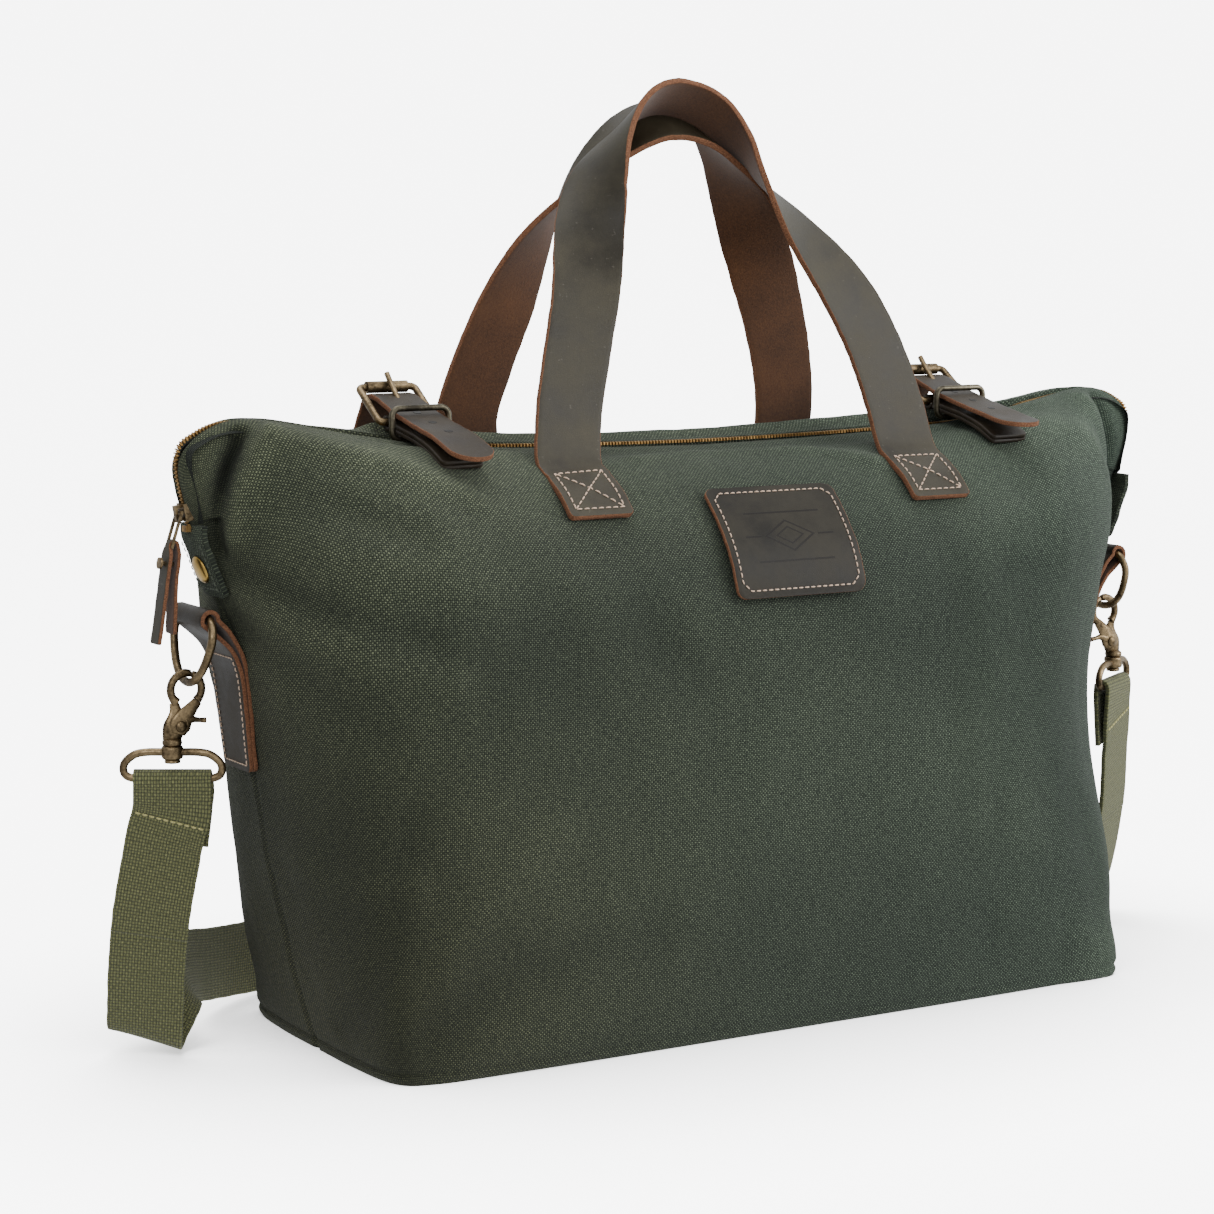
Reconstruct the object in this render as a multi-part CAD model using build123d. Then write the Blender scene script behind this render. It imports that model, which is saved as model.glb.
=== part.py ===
"""Weekender bag: canvas duffel with leather handles, two strap closures and a clip-on shoulder strap.

Millimetres.  Origin: centre of the base on the floor.  +X along the bag, -Y towards the front panel, +Z up.
Every function builds one kind of sub-part, and parts/NODE.step holds one sub-part each.
"""
import os
from math import atan2, cos, degrees, hypot, radians, sin

from build123d import *

# ---------------------------------------------------------------- driving dimensions
CANVAS = 2.0                  # canvas with its backing
LINING = 0.8
GAP = 0.4                     # air left between pieces that lie on each other
BODY_HALF = 235.0             # base half length, where the end walls start
LENS_X = 278.0                # where the end wall reaches the closed mouth
WALL_BULGE = 8.0              # how far the end wall swells beyond a flat one, half way up
TIP_X = 297.0                 # canvas end of the zip wing
# outline of the front half, from the base corner up to the zip: (depth from the middle, height)
HALF_PROFILE = [(97, 0), (104, 60), (107, 120), (107, 190), (105, 235), (92, 268), (70, 292), (46, 306),
                (18, 313)]
# zip over the body: (x, height), it sags in the middle
TOP_LINE = [(0, 314), (120, 316), (200, 320), (235, 328)]
MID_TOP = TOP_LINE[0][1]
# the same outline points where the mouth closes to a lens at the end of the body
LENS_PROFILE = [(8, 228), (20, 233), (33, 243), (43, 259), (46, 274), (42, 292), (33, 307), (20, 322),
                (7, 331)]
LENS_TOP = 334.0
TIP_HALF = 4.0
TIP_LOW = 286.0
TIP_HIGH = 327.0
TEETH_GAP = 3.2               # half of the slot that the zip teeth fill

ZIP_LINE = TOP_LINE + [(278, 334), (299, 329), (309.5, 317), (303.5, 283)]
SLIDER_PLACE = 0.8            # slider's centre along the straight end stretch, from its top
LINK_LENGTH = 19.0            # puller link, hanging from the slider
LINK_TILT = 18.0              # degrees outwards from straight down
PULL_TILT = 8.0
ZIP_TOOTH = 2.7               # width of one row of teeth
ZIP_THICK = 3.0
ZIP_TAPE = 0.6

HANDLE_W = 38.0
HANDLE_T = 3.4
HANDLE_X = 103.0              # feet each side of the middle
FRONT_HANDLE = dict(side=-1, y=-46.0, z=311.0, lean=18.5, rise=210.0)
BACK_HANDLE = dict(side=1, y=66.0, z=301.0, lean=13.0, rise=192.0)
# right half of the arch: (x, part of the rise, twist in degrees); the left half mirrors it
ARCH = [(103, 0.015, 0), (104, 0.13, 0), (101.5, 0.32, 6), (94, 0.50, 20), (82, 0.65, 40), (67, 0.77, 58),
        (49, 0.875, 72), (26, 0.965, 84), (0, 1.0, 90)]

CLOSURE_X = 176.0             # both strap closures
BILLET_W = 25.0
BILLET_T = 2.6
CHAPE_T = 4.6
HEEL = (4.0, 325.0)           # heel bar of the buckle (y, z)
ROLLER = (29.0, 342.0)        # roller bar of the buckle (y, z)
BAR_R = 2.0
ROLLER_R = 3.2
FRAME_HALF = 16.5             # centre of the buckle's side rails
KEEPER_Y = -11.0

END_Y = 8.0                   # the D-rings hang this far behind the zip's plane
D_BAR = (-297.0, 234.5)       # D-ring bar (x, z); the right end mirrors it
D_WIRE = 2.2
D_HALF = 25.0
D_BOW = (-302.0, 200.9)       # lowest stretch of the D-ring (x, z)
TAB_SPAN = (152, 216)         # lower and upper height of the D-ring's leather tab
SWIVEL_X = -311.0             # post axis of the hook
SWIVEL_YAW = 30.7             # how far the strap's loop is turned about the post
EYE = (-302.8, 197.3)         # centre of the hook's eye (x, z)
EYE_IN = 6.7
EYE_OUT = 10.6
EYE_T = 4.4
EYE_SPLIT = 3.2               # the gate's jaw starts this far to the bag's side of the eye's centre
GATE_PIVOT = (-307.0, 178.5)
POST_R = 3.0
COLLAR = (162.0, 168.4)       # bottom and top of the loop's collar
LOOP_Z = 151.6                # bar in the strap's fold
STRAP_W = 40.0
STRAP_T = 2.2


# ---------------------------------------------------------------- helpers
def export(name, *solids):
    """Write one node, as one solid or as a group of separate solids."""
    shape = solids[0] if len(solids) == 1 else Compound(children=list(solids))
    export_step(shape, f"parts/{name}.step")


def wire_of(points):
    """Closed polygon through points in space."""
    return Wire.make_polygon([Vector(*p) for p in points], close=True)


def ruled(rings):
    """Solid through a row of polygons with the same number of corners."""
    return Solid.make_loft([wire_of(ring) for ring in rings], ruled=True)


def box(x0, x1, y0, y1, z0, z1):
    """Box between two corners."""
    return Pos((x0 + x1) / 2, (y0 + y1) / 2, (z0 + z1) / 2) * Box(x1 - x0, y1 - y0, z1 - z0)


def rod(start, end, radius):
    """Round bar between two points."""
    axis = Vector(*end) - Vector(*start)
    return Solid.make_cylinder(radius, axis.length, Plane(origin=start, z_dir=axis))


def offset_line(path, distance):
    """Open 2-D line moved sideways by distance, to its left."""
    out = []
    for i, (a, b) in enumerate(path):
        p, q = path[max(i - 1, 0)], path[min(i + 1, len(path) - 1)]
        dx, dy = q[0] - p[0], q[1] - p[1]
        size = hypot(dx, dy)
        out.append((a - dy / size * distance, b + dx / size * distance))
    return out


def band(path, thickness):
    """Closed outline of a flat strip that follows an open 2-D line."""
    return offset_line(path, thickness / 2) + offset_line(path, -thickness / 2)[::-1]


def extrude_x(outline, x0, x1):
    """Outline in (y, z) extruded from x0 to x1."""
    return ruled([[(x, y, z) for y, z in outline] for x in (x0, x1)])


def extrude_y(outline, y0, y1):
    """Outline in (x, z) extruded from y0 to y1."""
    return ruled([[(x, y, z) for x, z in outline] for y in (y0, y1)])


def ribbon(stations, width, thickness):
    """Flat band through stations of (centre, width direction, face direction)."""
    rings = []
    for centre, across, face in stations:
        a = Vector(*across).normalized() * (width / 2)
        f = Vector(*face).normalized() * (thickness / 2)
        c = Vector(*centre)
        rings.append([tuple(c + a + f), tuple(c - a + f), tuple(c - a - f), tuple(c + a - f)])
    return ruled(rings)


def wire_ring(corners, radii, wire_radius):
    """Closed ring of round wire through corners, with one bend radius each."""
    path = FilletPolyline(*corners, radius=radii, close=True)
    return sweep(Plane(origin=path @ 0, z_dir=path % 0) * Circle(wire_radius), path=path)


def both_ends(name, solids):
    """Write a left-hand piece and its mirror image on the right."""
    export(f"left_{name}", *solids)
    export(f"right_{name}", *[mirror(solid, Plane.YZ) for solid in solids])


def twin(name, solids):
    """Write a piece of the left closure and the same piece, moved, on the right."""
    lift = top_height(CLOSURE_X + FRAME_HALF) - MID_TOP
    export(f"left_{name}", *[Pos(-CLOSURE_X, 0, lift) * solid for solid in solids])
    export(f"right_{name}", *[Pos(CLOSURE_X, 0, lift) * solid for solid in solids])


# ---------------------------------------------------------------- bag body
def top_height(x):
    """Height of the zip line over the body."""
    for (x0, z0), (x1, z1) in zip(TOP_LINE, TOP_LINE[1:]):
        if abs(x) <= x1:
            return z0 + (z1 - z0) * (abs(x) - x0) / (x1 - x0)
    return TOP_LINE[-1][1]


def body_ring(x, inset):
    """Outline of the body at x, moved inwards by inset."""
    top = top_height(x)
    stretch = (top - 2 * inset) / MID_TOP
    front = [(-(depth - inset), inset + height * stretch) for depth, height in HALF_PROFILE]
    ring = front + [(0, top - inset)] + [(-y, z) for y, z in front[::-1]]
    return [(x, y, z) for y, z in ring]


def lens_ring(x, inset):
    """Outline of the closed mouth at the end of the body."""
    low, high = LENS_PROFILE[0][1], LENS_TOP
    squeeze = (high - low - 4 * inset) / (high - low)
    front = [(-(depth - min(inset, 0.4 * depth)), low + 2 * inset + (height - low) * squeeze)
             for depth, height in LENS_PROFILE]
    ring = front + [(0, high - 2 * inset)] + [(-y, z) for y, z in front[::-1]]
    return [(x, y, z) for y, z in ring]


def tip_ring(x, inset):
    """Flat outline of the wing's tip."""
    count = len(HALF_PROFILE)
    half = TIP_HALF - min(inset, 0.5 * TIP_HALF)
    low, high = TIP_LOW + 2 * inset, TIP_HIGH - 2 * inset
    front = [(-half * (0.5 + 0.5 * sin(radians(180 * i / count))), low + (high - low) * i / count)
             for i in range(count)]
    ring = front + [(0, high)] + [(-y, z) for y, z in front[::-1]]
    return [(x, y, z) for y, z in ring]


def body_solid(inset):
    """Whole outer shape of the bag, moved inwards by inset."""
    wall, lens = body_ring(BODY_HALF - inset / 2, inset), lens_ring(LENS_X - 1.2 * inset, inset)
    swell = [((a[0] + b[0]) / 2 + WALL_BULGE, (a[1] + b[1]) / 2, (a[2] + b[2]) / 2)
             for a, b in zip(wall, lens)]
    half = [wall, swell, lens, tip_ring(TIP_X - 3 * inset, inset)]
    rings = [[(-x, y, z) for x, y, z in ring] for ring in half[::-1]]
    rings += [body_ring(x, inset) for x in (-200, -120, 0, 120, 200)]
    return ruled(rings + half)


def make_body():
    """Canvas panels, base, lining and stiffener."""
    outer, inner = body_solid(0), body_solid(CANVAS)
    shell = outer - inner
    zip_slot = box(-TIP_X - 5, TIP_X + 5, -TEETH_GAP, TEETH_GAP, 300, 345)
    end_slots = [box(s * 291 - 9, s * 291 + 9, -TEETH_GAP, TEETH_GAP, 280, 345) for s in (-1, 1)]
    wall = shell - zip_slot - end_slots[0] - end_slots[1]
    seam = 0.05
    export("front_panel", wall & box(-400, 400, -200, -seam, CANVAS + seam, 400))
    export("back_panel", wall & box(-400, 400, seam, 200, CANVAS + seam, 400))
    export("base_panel", wall & box(-400, 400, -200, 200, -1, CANVAS))
    lining = body_solid(CANVAS + GAP) - body_solid(CANVAS + GAP + LINING)
    export("lining", lining - box(-400, 400, -60, 60, 285, 400))
    floor = CANVAS + GAP + LINING + 0.2
    export("base_board", box(-226, 226, -90, 90, floor, floor + 3))


def make_patch():
    """Leather name patch on the front panel, following the shoulder."""
    path = [(-y, z) for y, z in HALF_PROFILE[4:7]]
    lifted = offset_line(path, GAP + 2.2)
    lower = (lifted[0][0] - 0.2, lifted[0][1] + 4)
    export("leather_patch", extrude_x(band([lower] + lifted[1:], 2.2), -41, 41))


# ---------------------------------------------------------------- zip
def full_zip_line():
    """Zip line from the left end to the right end."""
    return [(-x, z) for x, z in ZIP_LINE[::-1]] + ZIP_LINE[1:]


def make_zip():
    """Tapes, rows of teeth and end stops."""
    line = full_zip_line()
    teeth = band(offset_line(line, -0.8), ZIP_THICK)
    tape = band(offset_line(line[4:-4], -4.0), ZIP_TAPE)
    for name, side in (("front", -1), ("back", 1)):
        near, far = sorted((side * 0.15, side * (0.15 + ZIP_TOOTH)))
        export(f"zip_teeth_{name}", extrude_y(teeth, near, far))
        near, far = sorted((side * 0.15, side * 9.0))
        export(f"zip_tape_{name}", extrude_y(tape, near, far))
    stops = [box(s * 304 - 1.8, s * 304 + 1.8, -2.6, 2.6, 279.4, 282.4) for s in (-1, 1)]
    export("zip_stops", *stops)


def make_slider():
    """Zip slider round the teeth, with its puller link and folded leather pull."""
    (x0, z0), (x1, z1) = [(-x, z) for x, z in ZIP_LINE[-2:]]
    tilt = degrees(atan2(x1 - x0, z0 - z1))
    centre_x = x0 + SLIDER_PLACE * (x1 - x0) + 0.8
    centre_z = z0 + SLIDER_PLACE * (z1 - z0)
    place = Pos(centre_x, 0, centre_z) * Rot(0, -tilt, 0)
    slider = Box(6.4, 9.0, 9.0) - Box(3.8, 6.2, 20)
    for end in (-1, 1):
        slider += Pos(-4.6, 0, end * 3.4) * Box(3.2, 3, 1.6)
    slider += Pos(-6.2, 0, 0) * Box(1.6, 3, 8.4)
    export("zip_slider", place * slider)

    link_at = Pos(centre_x - 4.3, 0, centre_z) * Rot(0, LINK_TILT, 0)
    link = rod((0, -4, 0), (0, 4, 0), 0.7) + box(-0.7, 0.7, -4, 4, -LINK_LENGTH, -LINK_LENGTH + 1.6)
    for side in (-1, 1):
        link += Pos(0, side * 3.3, -LINK_LENGTH / 2) * Box(1.4, 1.4, LINK_LENGTH)
    export("zip_puller", link_at * link)

    pull_at = link_at * Pos(0, 0, -LINK_LENGTH + 0.8) * Rot(0, PULL_TILT - LINK_TILT, 0)
    tab = box(-3.3, 3.3, -2.2, 2.2, 1.3, 3.3)
    for side, length in ((-1, 52), (1, 46)):
        near, far = sorted((side * 1.7, side * 3.3))
        tab += box(near, far, -2.2, 2.2, -3, 3.3) + box(near, far, -5.5, 5.5, -length, -2.5)
    tab -= rod((-9, 0, -9), (9, 0, -9), 1.4)
    export("zip_pull_tab", pull_at * tab)
    rivet = rod((-4.6, 0, -9), (4.6, 0, -9), 1.2)
    for side in (-1, 1):
        rivet += rod((side * 3.7, 0, -9), (side * 4.9, 0, -9), 3.0)
    export("pull_tab_rivet", pull_at * rivet)


def make_end_tabs():
    """Canvas tabs at the zip's ends, with a snap cap each, and the studs on the end walls."""
    tab_path = [(-300.4, 277.0), (-288.2, 245.5)]
    tab = extrude_y(band(tab_path, 2.0), -14, 14)
    slope = degrees(atan2(13.0, 33.7))
    cap_at = Pos(-293.9, 0, 260) * Rot(0, -slope, 0)
    cap = cap_at * Pos(-2.5, 0, 0) * Rot(0, 90, 0) * Cylinder(6.6, 2.4)
    shank = cap_at * Pos(1.0, 0, 0) * Rot(0, 90, 0) * Cylinder(2.0, 5.0)
    hole = cap_at * Rot(0, 90, 0) * Cylinder(2.2, 12)
    stud = cap_at * Pos(3.8, 0, 0) * Rot(0, 90, 0) * (Cylinder(5.0, 1.6) - Cylinder(2.6, 3))
    both_ends("end_tab", [tab - hole])
    both_ends("snap_cap", [cap + shank])
    both_ends("snap_stud", [stud])


# ---------------------------------------------------------------- handles
def arch_stations(spec):
    """Stations of a handle, from its right foot over the top to its left foot."""
    lean = radians(spec["lean"])
    up = Vector(0, -spec["side"] * sin(lean), cos(lean))
    normal = Vector(0, cos(lean), spec["side"] * sin(lean))
    flat = [(x, part * spec["rise"], twist) for x, part, twist in ARCH]
    flat += [(-x, s, twist) for x, s, twist in flat[-2::-1]]
    foot = Vector(0, spec["y"], spec["z"])
    stations = []
    for i, (x, s, twist) in enumerate(flat):
        p, q = flat[max(i - 1, 0)], flat[min(i + 1, len(flat) - 1)]
        tx, ts = q[0] - p[0], q[1] - p[1]
        if i in (0, len(flat) - 1):
            tx, ts = 0, (1 if i == 0 else -1)
        size = hypot(tx, ts)
        tangent = Vector(tx / size, 0, 0) + up * (ts / size)
        outward = Vector(ts / size, 0, 0) - up * (tx / size)
        turn = radians(twist)
        across = outward * cos(turn) - normal * (spec["side"] * sin(turn))
        stations.append((tuple(foot + Vector(x, 0, 0) + up * s), tuple(across), tuple(tangent.cross(across))))
    return stations


def make_handle(name, spec, foot_path):
    """Carry handle with its two sewn feet."""
    export(f"{name}_handle", ribbon(arch_stations(spec), HANDLE_W, HANDLE_T))
    half = HANDLE_W / 2 + 1
    outline = band(offset_line(foot_path, spec["side"] * -(GAP + HANDLE_T / 2 + 0.5)), HANDLE_T)
    rise = top_height(HANDLE_X + half) - MID_TOP
    outline = [(y, z + rise) for y, z in outline]
    feet = [extrude_x(outline, x - half, x + half) for x in (-HANDLE_X, HANDLE_X)]
    export(f"{name}_handle_feet", *feet)


# ---------------------------------------------------------------- strap closures
def make_closure():
    """Roller buckle, its chape, the billet that it holds and the keeper ring, at both closures."""
    half = BILLET_W / 2
    y0, z0 = HEEL
    chape_line = [(-82, 288), (-72, 297), (-60, 306), (-44, 313.6), (-26, 318.2), (-8, 321.6), (-2, 323.1)]
    chape = extrude_x(band(chape_line, CHAPE_T), -half, half)
    eye = rod((-half, y0, z0), (half, y0, z0), BAR_R + 2.9)
    eye -= rod((-half - 1, y0, z0), (half + 1, y0, z0), BAR_R + 0.4)
    eye -= box(-2.9, 2.9, y0 - 4.2, y0 + 8, z0 - 8, z0 + 8)
    chape -= rod((-half - 1, y0, z0), (half + 1, y0, z0), BAR_R + 2.4)
    twin("chape", [chape + eye])

    billet_line = [(95, 271), (88, 281), (74, 294.5), (60, 304.5), (48, 313), (39, 325), (31, 335.8), (22, 337.4),
                   (10, 334.4), (-4, 329.8), (-26, 324.6), (-44, 321.0), (-60, 316.2), (-76, 310.5)]
    billet = extrude_x(band(billet_line, BILLET_T), -half, half)
    slot = box(-2.8, 2.8, 6, 24, 325, 345)
    holes = [rod((0, y, 300), (0, y, 345), 1.8) for y in (-34, -50)]
    twin("billet", [billet - slot - holes[0] - holes[1]])

    along = Vector(0, ROLLER[0] - y0, ROLLER[1] - z0)
    corners = [(s * FRAME_HALF, *p) for s, p in ((-1, HEEL), (-1, ROLLER), (1, ROLLER), (1, HEEL))]
    frame = wire_ring(corners, 3.0, BAR_R)
    twin("buckle_frame", [frame])
    tube = rod((-half + 0.5, *ROLLER), (half - 0.5, *ROLLER), ROLLER_R)
    tube -= rod((-half, *ROLLER), (half, *ROLLER), BAR_R + 0.08)
    twin("buckle_roller", [tube])

    unit = along.normalized()
    lift = Vector(0, -unit.Z, unit.Y)
    heel = Vector(0, y0, z0)
    root = heel + lift * 0.4 + unit * 1.2
    over = heel + unit * (along.length - 2) + lift * (ROLLER_R + 1.9)
    tip = heel + unit * (along.length + 3.5) + lift * (ROLLER_R + 3.2)
    prong = rod(tuple(root), tuple(over), 1.5) + rod(tuple(over), tuple(tip), 1.5)
    hub = rod((-2.3, y0, z0), (2.3, y0, z0), BAR_R + 1.7)
    bore = rod((-3, y0, z0), (3, y0, z0), BAR_R + 0.08)
    twin("buckle_prong", [hub + prong - bore])

    low, high = (KEEPER_Y, 316.6), (KEEPER_Y + 0.6, 333.0)
    keeper = wire_ring([(-16.6, *low), (16.6, *low), (16.6, *high), (-16.6, *high)], 4.5, 1.7)
    twin("keeper_ring", [keeper])


# ---------------------------------------------------------------- strap hardware
def wall_x(z):
    """Place of the left end wall's outside at height z, up to the closed mouth."""
    middle_x, low = (BODY_HALF + LENS_X) / 2 + WALL_BULGE, LENS_PROFILE[0][1]
    if z < low / 2:
        return -(BODY_HALF + (middle_x - BODY_HALF) * z / (low / 2))
    return -(middle_x + (LENS_X - middle_x) * (z - low / 2) / (low / 2))


def make_d_ring_tab():
    """Leather loop sewn on the end wall, folded round the D-ring's bar."""
    bx, bz = D_BAR
    line = offset_line([(wall_x(z), z) for z in TAB_SPAN], 0.5 + GAP + 2.4)
    top, low = line[1], line[0]
    tab = ruled([
        [(x, END_Y + s * w, z) for (x, z), w in zip(band([low, top], 4.8), (16.5, 20, 20, 16.5))]
        for s in (-1, 1)
    ])
    neck = extrude_y(band([top, (top[0] - 5, top[1] + 8), (bx, bz - 2)], 4.8), END_Y - 20, END_Y + 20)
    roll = rod((bx, END_Y - 20, bz), (bx, END_Y + 20, bz), 6.0)
    bore = rod((bx, END_Y - 30, bz), (bx, END_Y + 30, bz), D_WIRE + 0.4)
    both_ends("d_ring_tab", [tab + neck + roll - bore])


def d_point(y, part):
    """Point of the D-ring at depth y from its middle, part of the way from bar to bow."""
    return (D_BAR[0] + (D_BOW[0] - D_BAR[0]) * part, END_Y + y, D_BAR[1] + (D_BOW[1] - D_BAR[1]) * part)


def make_hook():
    """Trigger hooks: post, body and fixed jaw in one, and the gate with its jaw and thumb lever."""
    ex, ez = EYE
    px, pz = GATE_PIVOT
    near, far = END_Y - EYE_T / 2, END_Y + EYE_T / 2
    eye = rod((ex, near, ez), (ex, far, ez), EYE_OUT) - rod((ex, near - 1, ez), (ex, far + 1, ez), EYE_IN)
    jaw_side = box(ex + EYE_SPLIT, ex + 20, near - 1, far + 1, ez - 20, ez + 20)
    jaw_side += box(ex - 2, ex + 20, near - 1, far + 1, ez - 20, ez - 2)
    body = rod((SWIVEL_X, END_Y, COLLAR[1] + 0.6), (SWIVEL_X - 0.8, END_Y, ez - 7), 3.4)
    post = rod((SWIVEL_X, END_Y, COLLAR[0] - 0.6), (SWIVEL_X, END_Y, COLLAR[1] + 1.6), POST_R)
    head = rod((SWIVEL_X, END_Y, COLLAR[0] - 2.4), (SWIVEL_X, END_Y, COLLAR[0] - 0.6), 4.4)
    gate_room = rod((px, near - 4, pz), (px, far + 4, pz), 4.9)
    pin = rod((px, END_Y - 3.0, pz), (px, END_Y + 3.4, pz), 1.2)
    link = box(SWIVEL_X - 1, px + 2, END_Y - 4.0, END_Y - 2.5, COLLAR[1] + 3, pz + 2.5)
    hook = (eye - jaw_side) + body + post + head - gate_room + pin + link
    both_ends("hook", [hook])

    inner = (ex + EYE_SPLIT + 0.5, ez + 20)
    jaw = eye & box(inner[0], ex + 20, near, far, ez - 8.4, inner[1])
    arm_line = [(px - 1, pz + 3.4), (px + 3.6, pz + 1), (ex + EYE_OUT - 2.4, ez - 5),
                (ex + EYE_OUT - 5, ez - 6.6)]
    arm = extrude_y(arm_line, near, far)
    lever = box(px + 2, px + 13, near, far, pz + 1.4, pz + 3.4)
    hub = rod((px, near, pz), (px, far, pz), 4.5)
    gate = jaw + arm + lever + hub - rod((px, near - 1, pz), (px, far + 1, pz), 1.35)
    both_ends("hook_gate", [gate])


def make_hardware():
    """D-rings, hooks, strap loops and the webbing sewn round them at both ends."""
    corners = [d_point(-D_HALF, 0), d_point(D_HALF, 0), d_point(D_HALF - 2, 0.5), d_point(9, 1),
               d_point(-9, 1), d_point(-D_HALF + 2, 0.5)]
    both_ends("d_ring", [wire_ring(corners, 3.5, D_WIRE)])
    make_hook()

    x0 = SWIVEL_X
    yaw = radians(SWIVEL_YAW)
    across = Vector(cos(yaw), -sin(yaw), 0)
    half = STRAP_W / 2 + 5.2
    ends = [Vector(x0, END_Y, 0) + across * (s * half) for s in (-1, 1)]
    bar_z = (COLLAR[0] + COLLAR[1]) / 2
    corners = [(ends[0].X, ends[0].Y, LOOP_Z), (ends[1].X, ends[1].Y, LOOP_Z),
               (ends[1].X, ends[1].Y, bar_z), (ends[0].X, ends[0].Y, bar_z)]
    loop = wire_ring(corners, 4.0, 2.1)
    loop += rod((x0, END_Y, COLLAR[0]), (x0, END_Y, COLLAR[1]), 5.6)
    loop -= rod((x0, END_Y, LOOP_Z + 4), (x0, END_Y, COLLAR[1] + 4), POST_R + 0.08)
    both_ends("swivel_loop", [loop])

    face = Vector(sin(yaw), cos(yaw), 0)
    r_in, r_out = 2.5, 2.5 + STRAP_T
    plies = []
    for side in (-1, 1):
        off = face * (side * (r_in + STRAP_T / 2))
        a = Vector(x0, END_Y, LOOP_Z) + off
        b = Vector(*STRAP_TOP) + Vector(0, 0, 27) + face * (side * (STRAP_T / 2 + 0.02))
        c = Vector(*STRAP_TOP) + face * (side * (STRAP_T / 2 + 0.02))
        plies.append(ribbon([(tuple(p), tuple(across), tuple(face)) for p in (a, b, c)], STRAP_W, STRAP_T))
    start = Vector(x0, END_Y, LOOP_Z) - across * (STRAP_W / 2)
    end = Vector(x0, END_Y, LOOP_Z) + across * (STRAP_W / 2)
    over = rod(tuple(start), tuple(end), r_out) - rod(tuple(start - across), tuple(end + across), r_in)
    over -= box(x0 - 60, x0 + 60, -60, 60, LOOP_Z - 20, LOOP_Z)
    both_ends("strap_end", [over + plies[0] + plies[1]])


# ---------------------------------------------------------------- shoulder strap
# left half of the strap's route, down to a fold on the floor, up beside the bag and round behind it:
# (centre, width direction)
STRAP_ROUTE = [
    ((-317.3, 12.4, 105.4), (0.86, -0.51, 0.0)),
    ((-321.0, 17.0, 80.0), (0.86, -0.51, 0.0)),
    ((-321.5, 23.0, 50.0), (0.86, -0.51, -0.03)),
    ((-320.5, 28.5, 24.0), (0.85, -0.50, -0.15)),
    ((-319.5, 32.5, 11.0), (0.822, -0.488, -0.292)),
    ((-316.0, 38.5, 8.2), (0.822, -0.488, -0.292)),
    ((-312.0, 42.5, 13.0), (0.80, -0.47, -0.36)),
    ((-300.0, 48.0, 28.0), (0.713, -0.423, -0.559)),
    ((-289.0, 58.0, 37.0), (0.50, -0.15, -0.85)),
    ((-276.0, 75.0, 34.0), (0.20, -0.05, -0.98)),
    ((-260.0, 95.0, 28.0), (0.05, 0.0, -1.0)),
    ((-230.0, 118.0, 22.5), (0.0, -0.1, -0.99)),
    ((-186.0, 137.0, 19.5), (0.0, -0.5, -0.87)),
    ((-138.0, 147.0, 8.6), (0.0, -0.95, -0.3)),
    ((-90.0, 150.0, 2.4), (0.0, -1.0, 0.0)),
    ((-40.0, 149.0, 2.4), (0.0, -1.0, 0.0)),
]
STRAP_TOP = (-316.5, 11.5, 112.0)       # where the sewn end of the webbing stops


def strap_stations(route):
    """Stations of the webbing, with its face square to the run."""
    stations = []
    for i, (centre, across) in enumerate(route):
        p, q = route[max(i - 1, 0)][0], route[min(i + 1, len(route) - 1)][0]
        tangent = (Vector(*q) - Vector(*p)).normalized()
        wide = Vector(*across)
        wide = (wide - tangent * wide.dot(tangent)).normalized()
        stations.append((centre, tuple(wide), tuple(tangent.cross(wide))))
    return stations


def make_strap():
    """Both lengths of webbing and the adjuster that joins them behind the bag."""
    left = ribbon(strap_stations(STRAP_ROUTE), STRAP_W, STRAP_T)
    export("strap_left", left)
    export("strap_right", mirror(left, Plane.YZ))
    ring = wire_ring([(-34, 125, 2.4), (34, 125, 2.4), (34, 173, 2.4), (-34, 173, 2.4)], 5, 1.9)
    bar = rod((-30, 149, 2.4), (30, 149, 2.4), 1.6)
    export("strap_adjuster", ring + rod((0, 125, 2.4), (0, 173, 2.4), 1.6))


os.makedirs("parts", exist_ok=True)
make_body()
make_patch()
make_zip()
make_slider()
make_end_tabs()
make_handle("front", FRONT_HANDLE, [(-82, 281), (-70, 292), (-46, 306)])
make_handle("back", BACK_HANDLE, [(97, 256), (92, 268), (70, 292)])
make_closure()
make_d_ring_tab()
make_hardware()
make_strap()
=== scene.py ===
"""Looks of the weekender bag: waxed canvas, oiled leather, antique brass, cotton webbing.

Metres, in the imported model's frame: +X along the bag, -Y towards the front panel, +Z up, the floor at 0.
"""
import math

import bmesh
import bpy
import numpy
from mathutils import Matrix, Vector, noise


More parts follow.
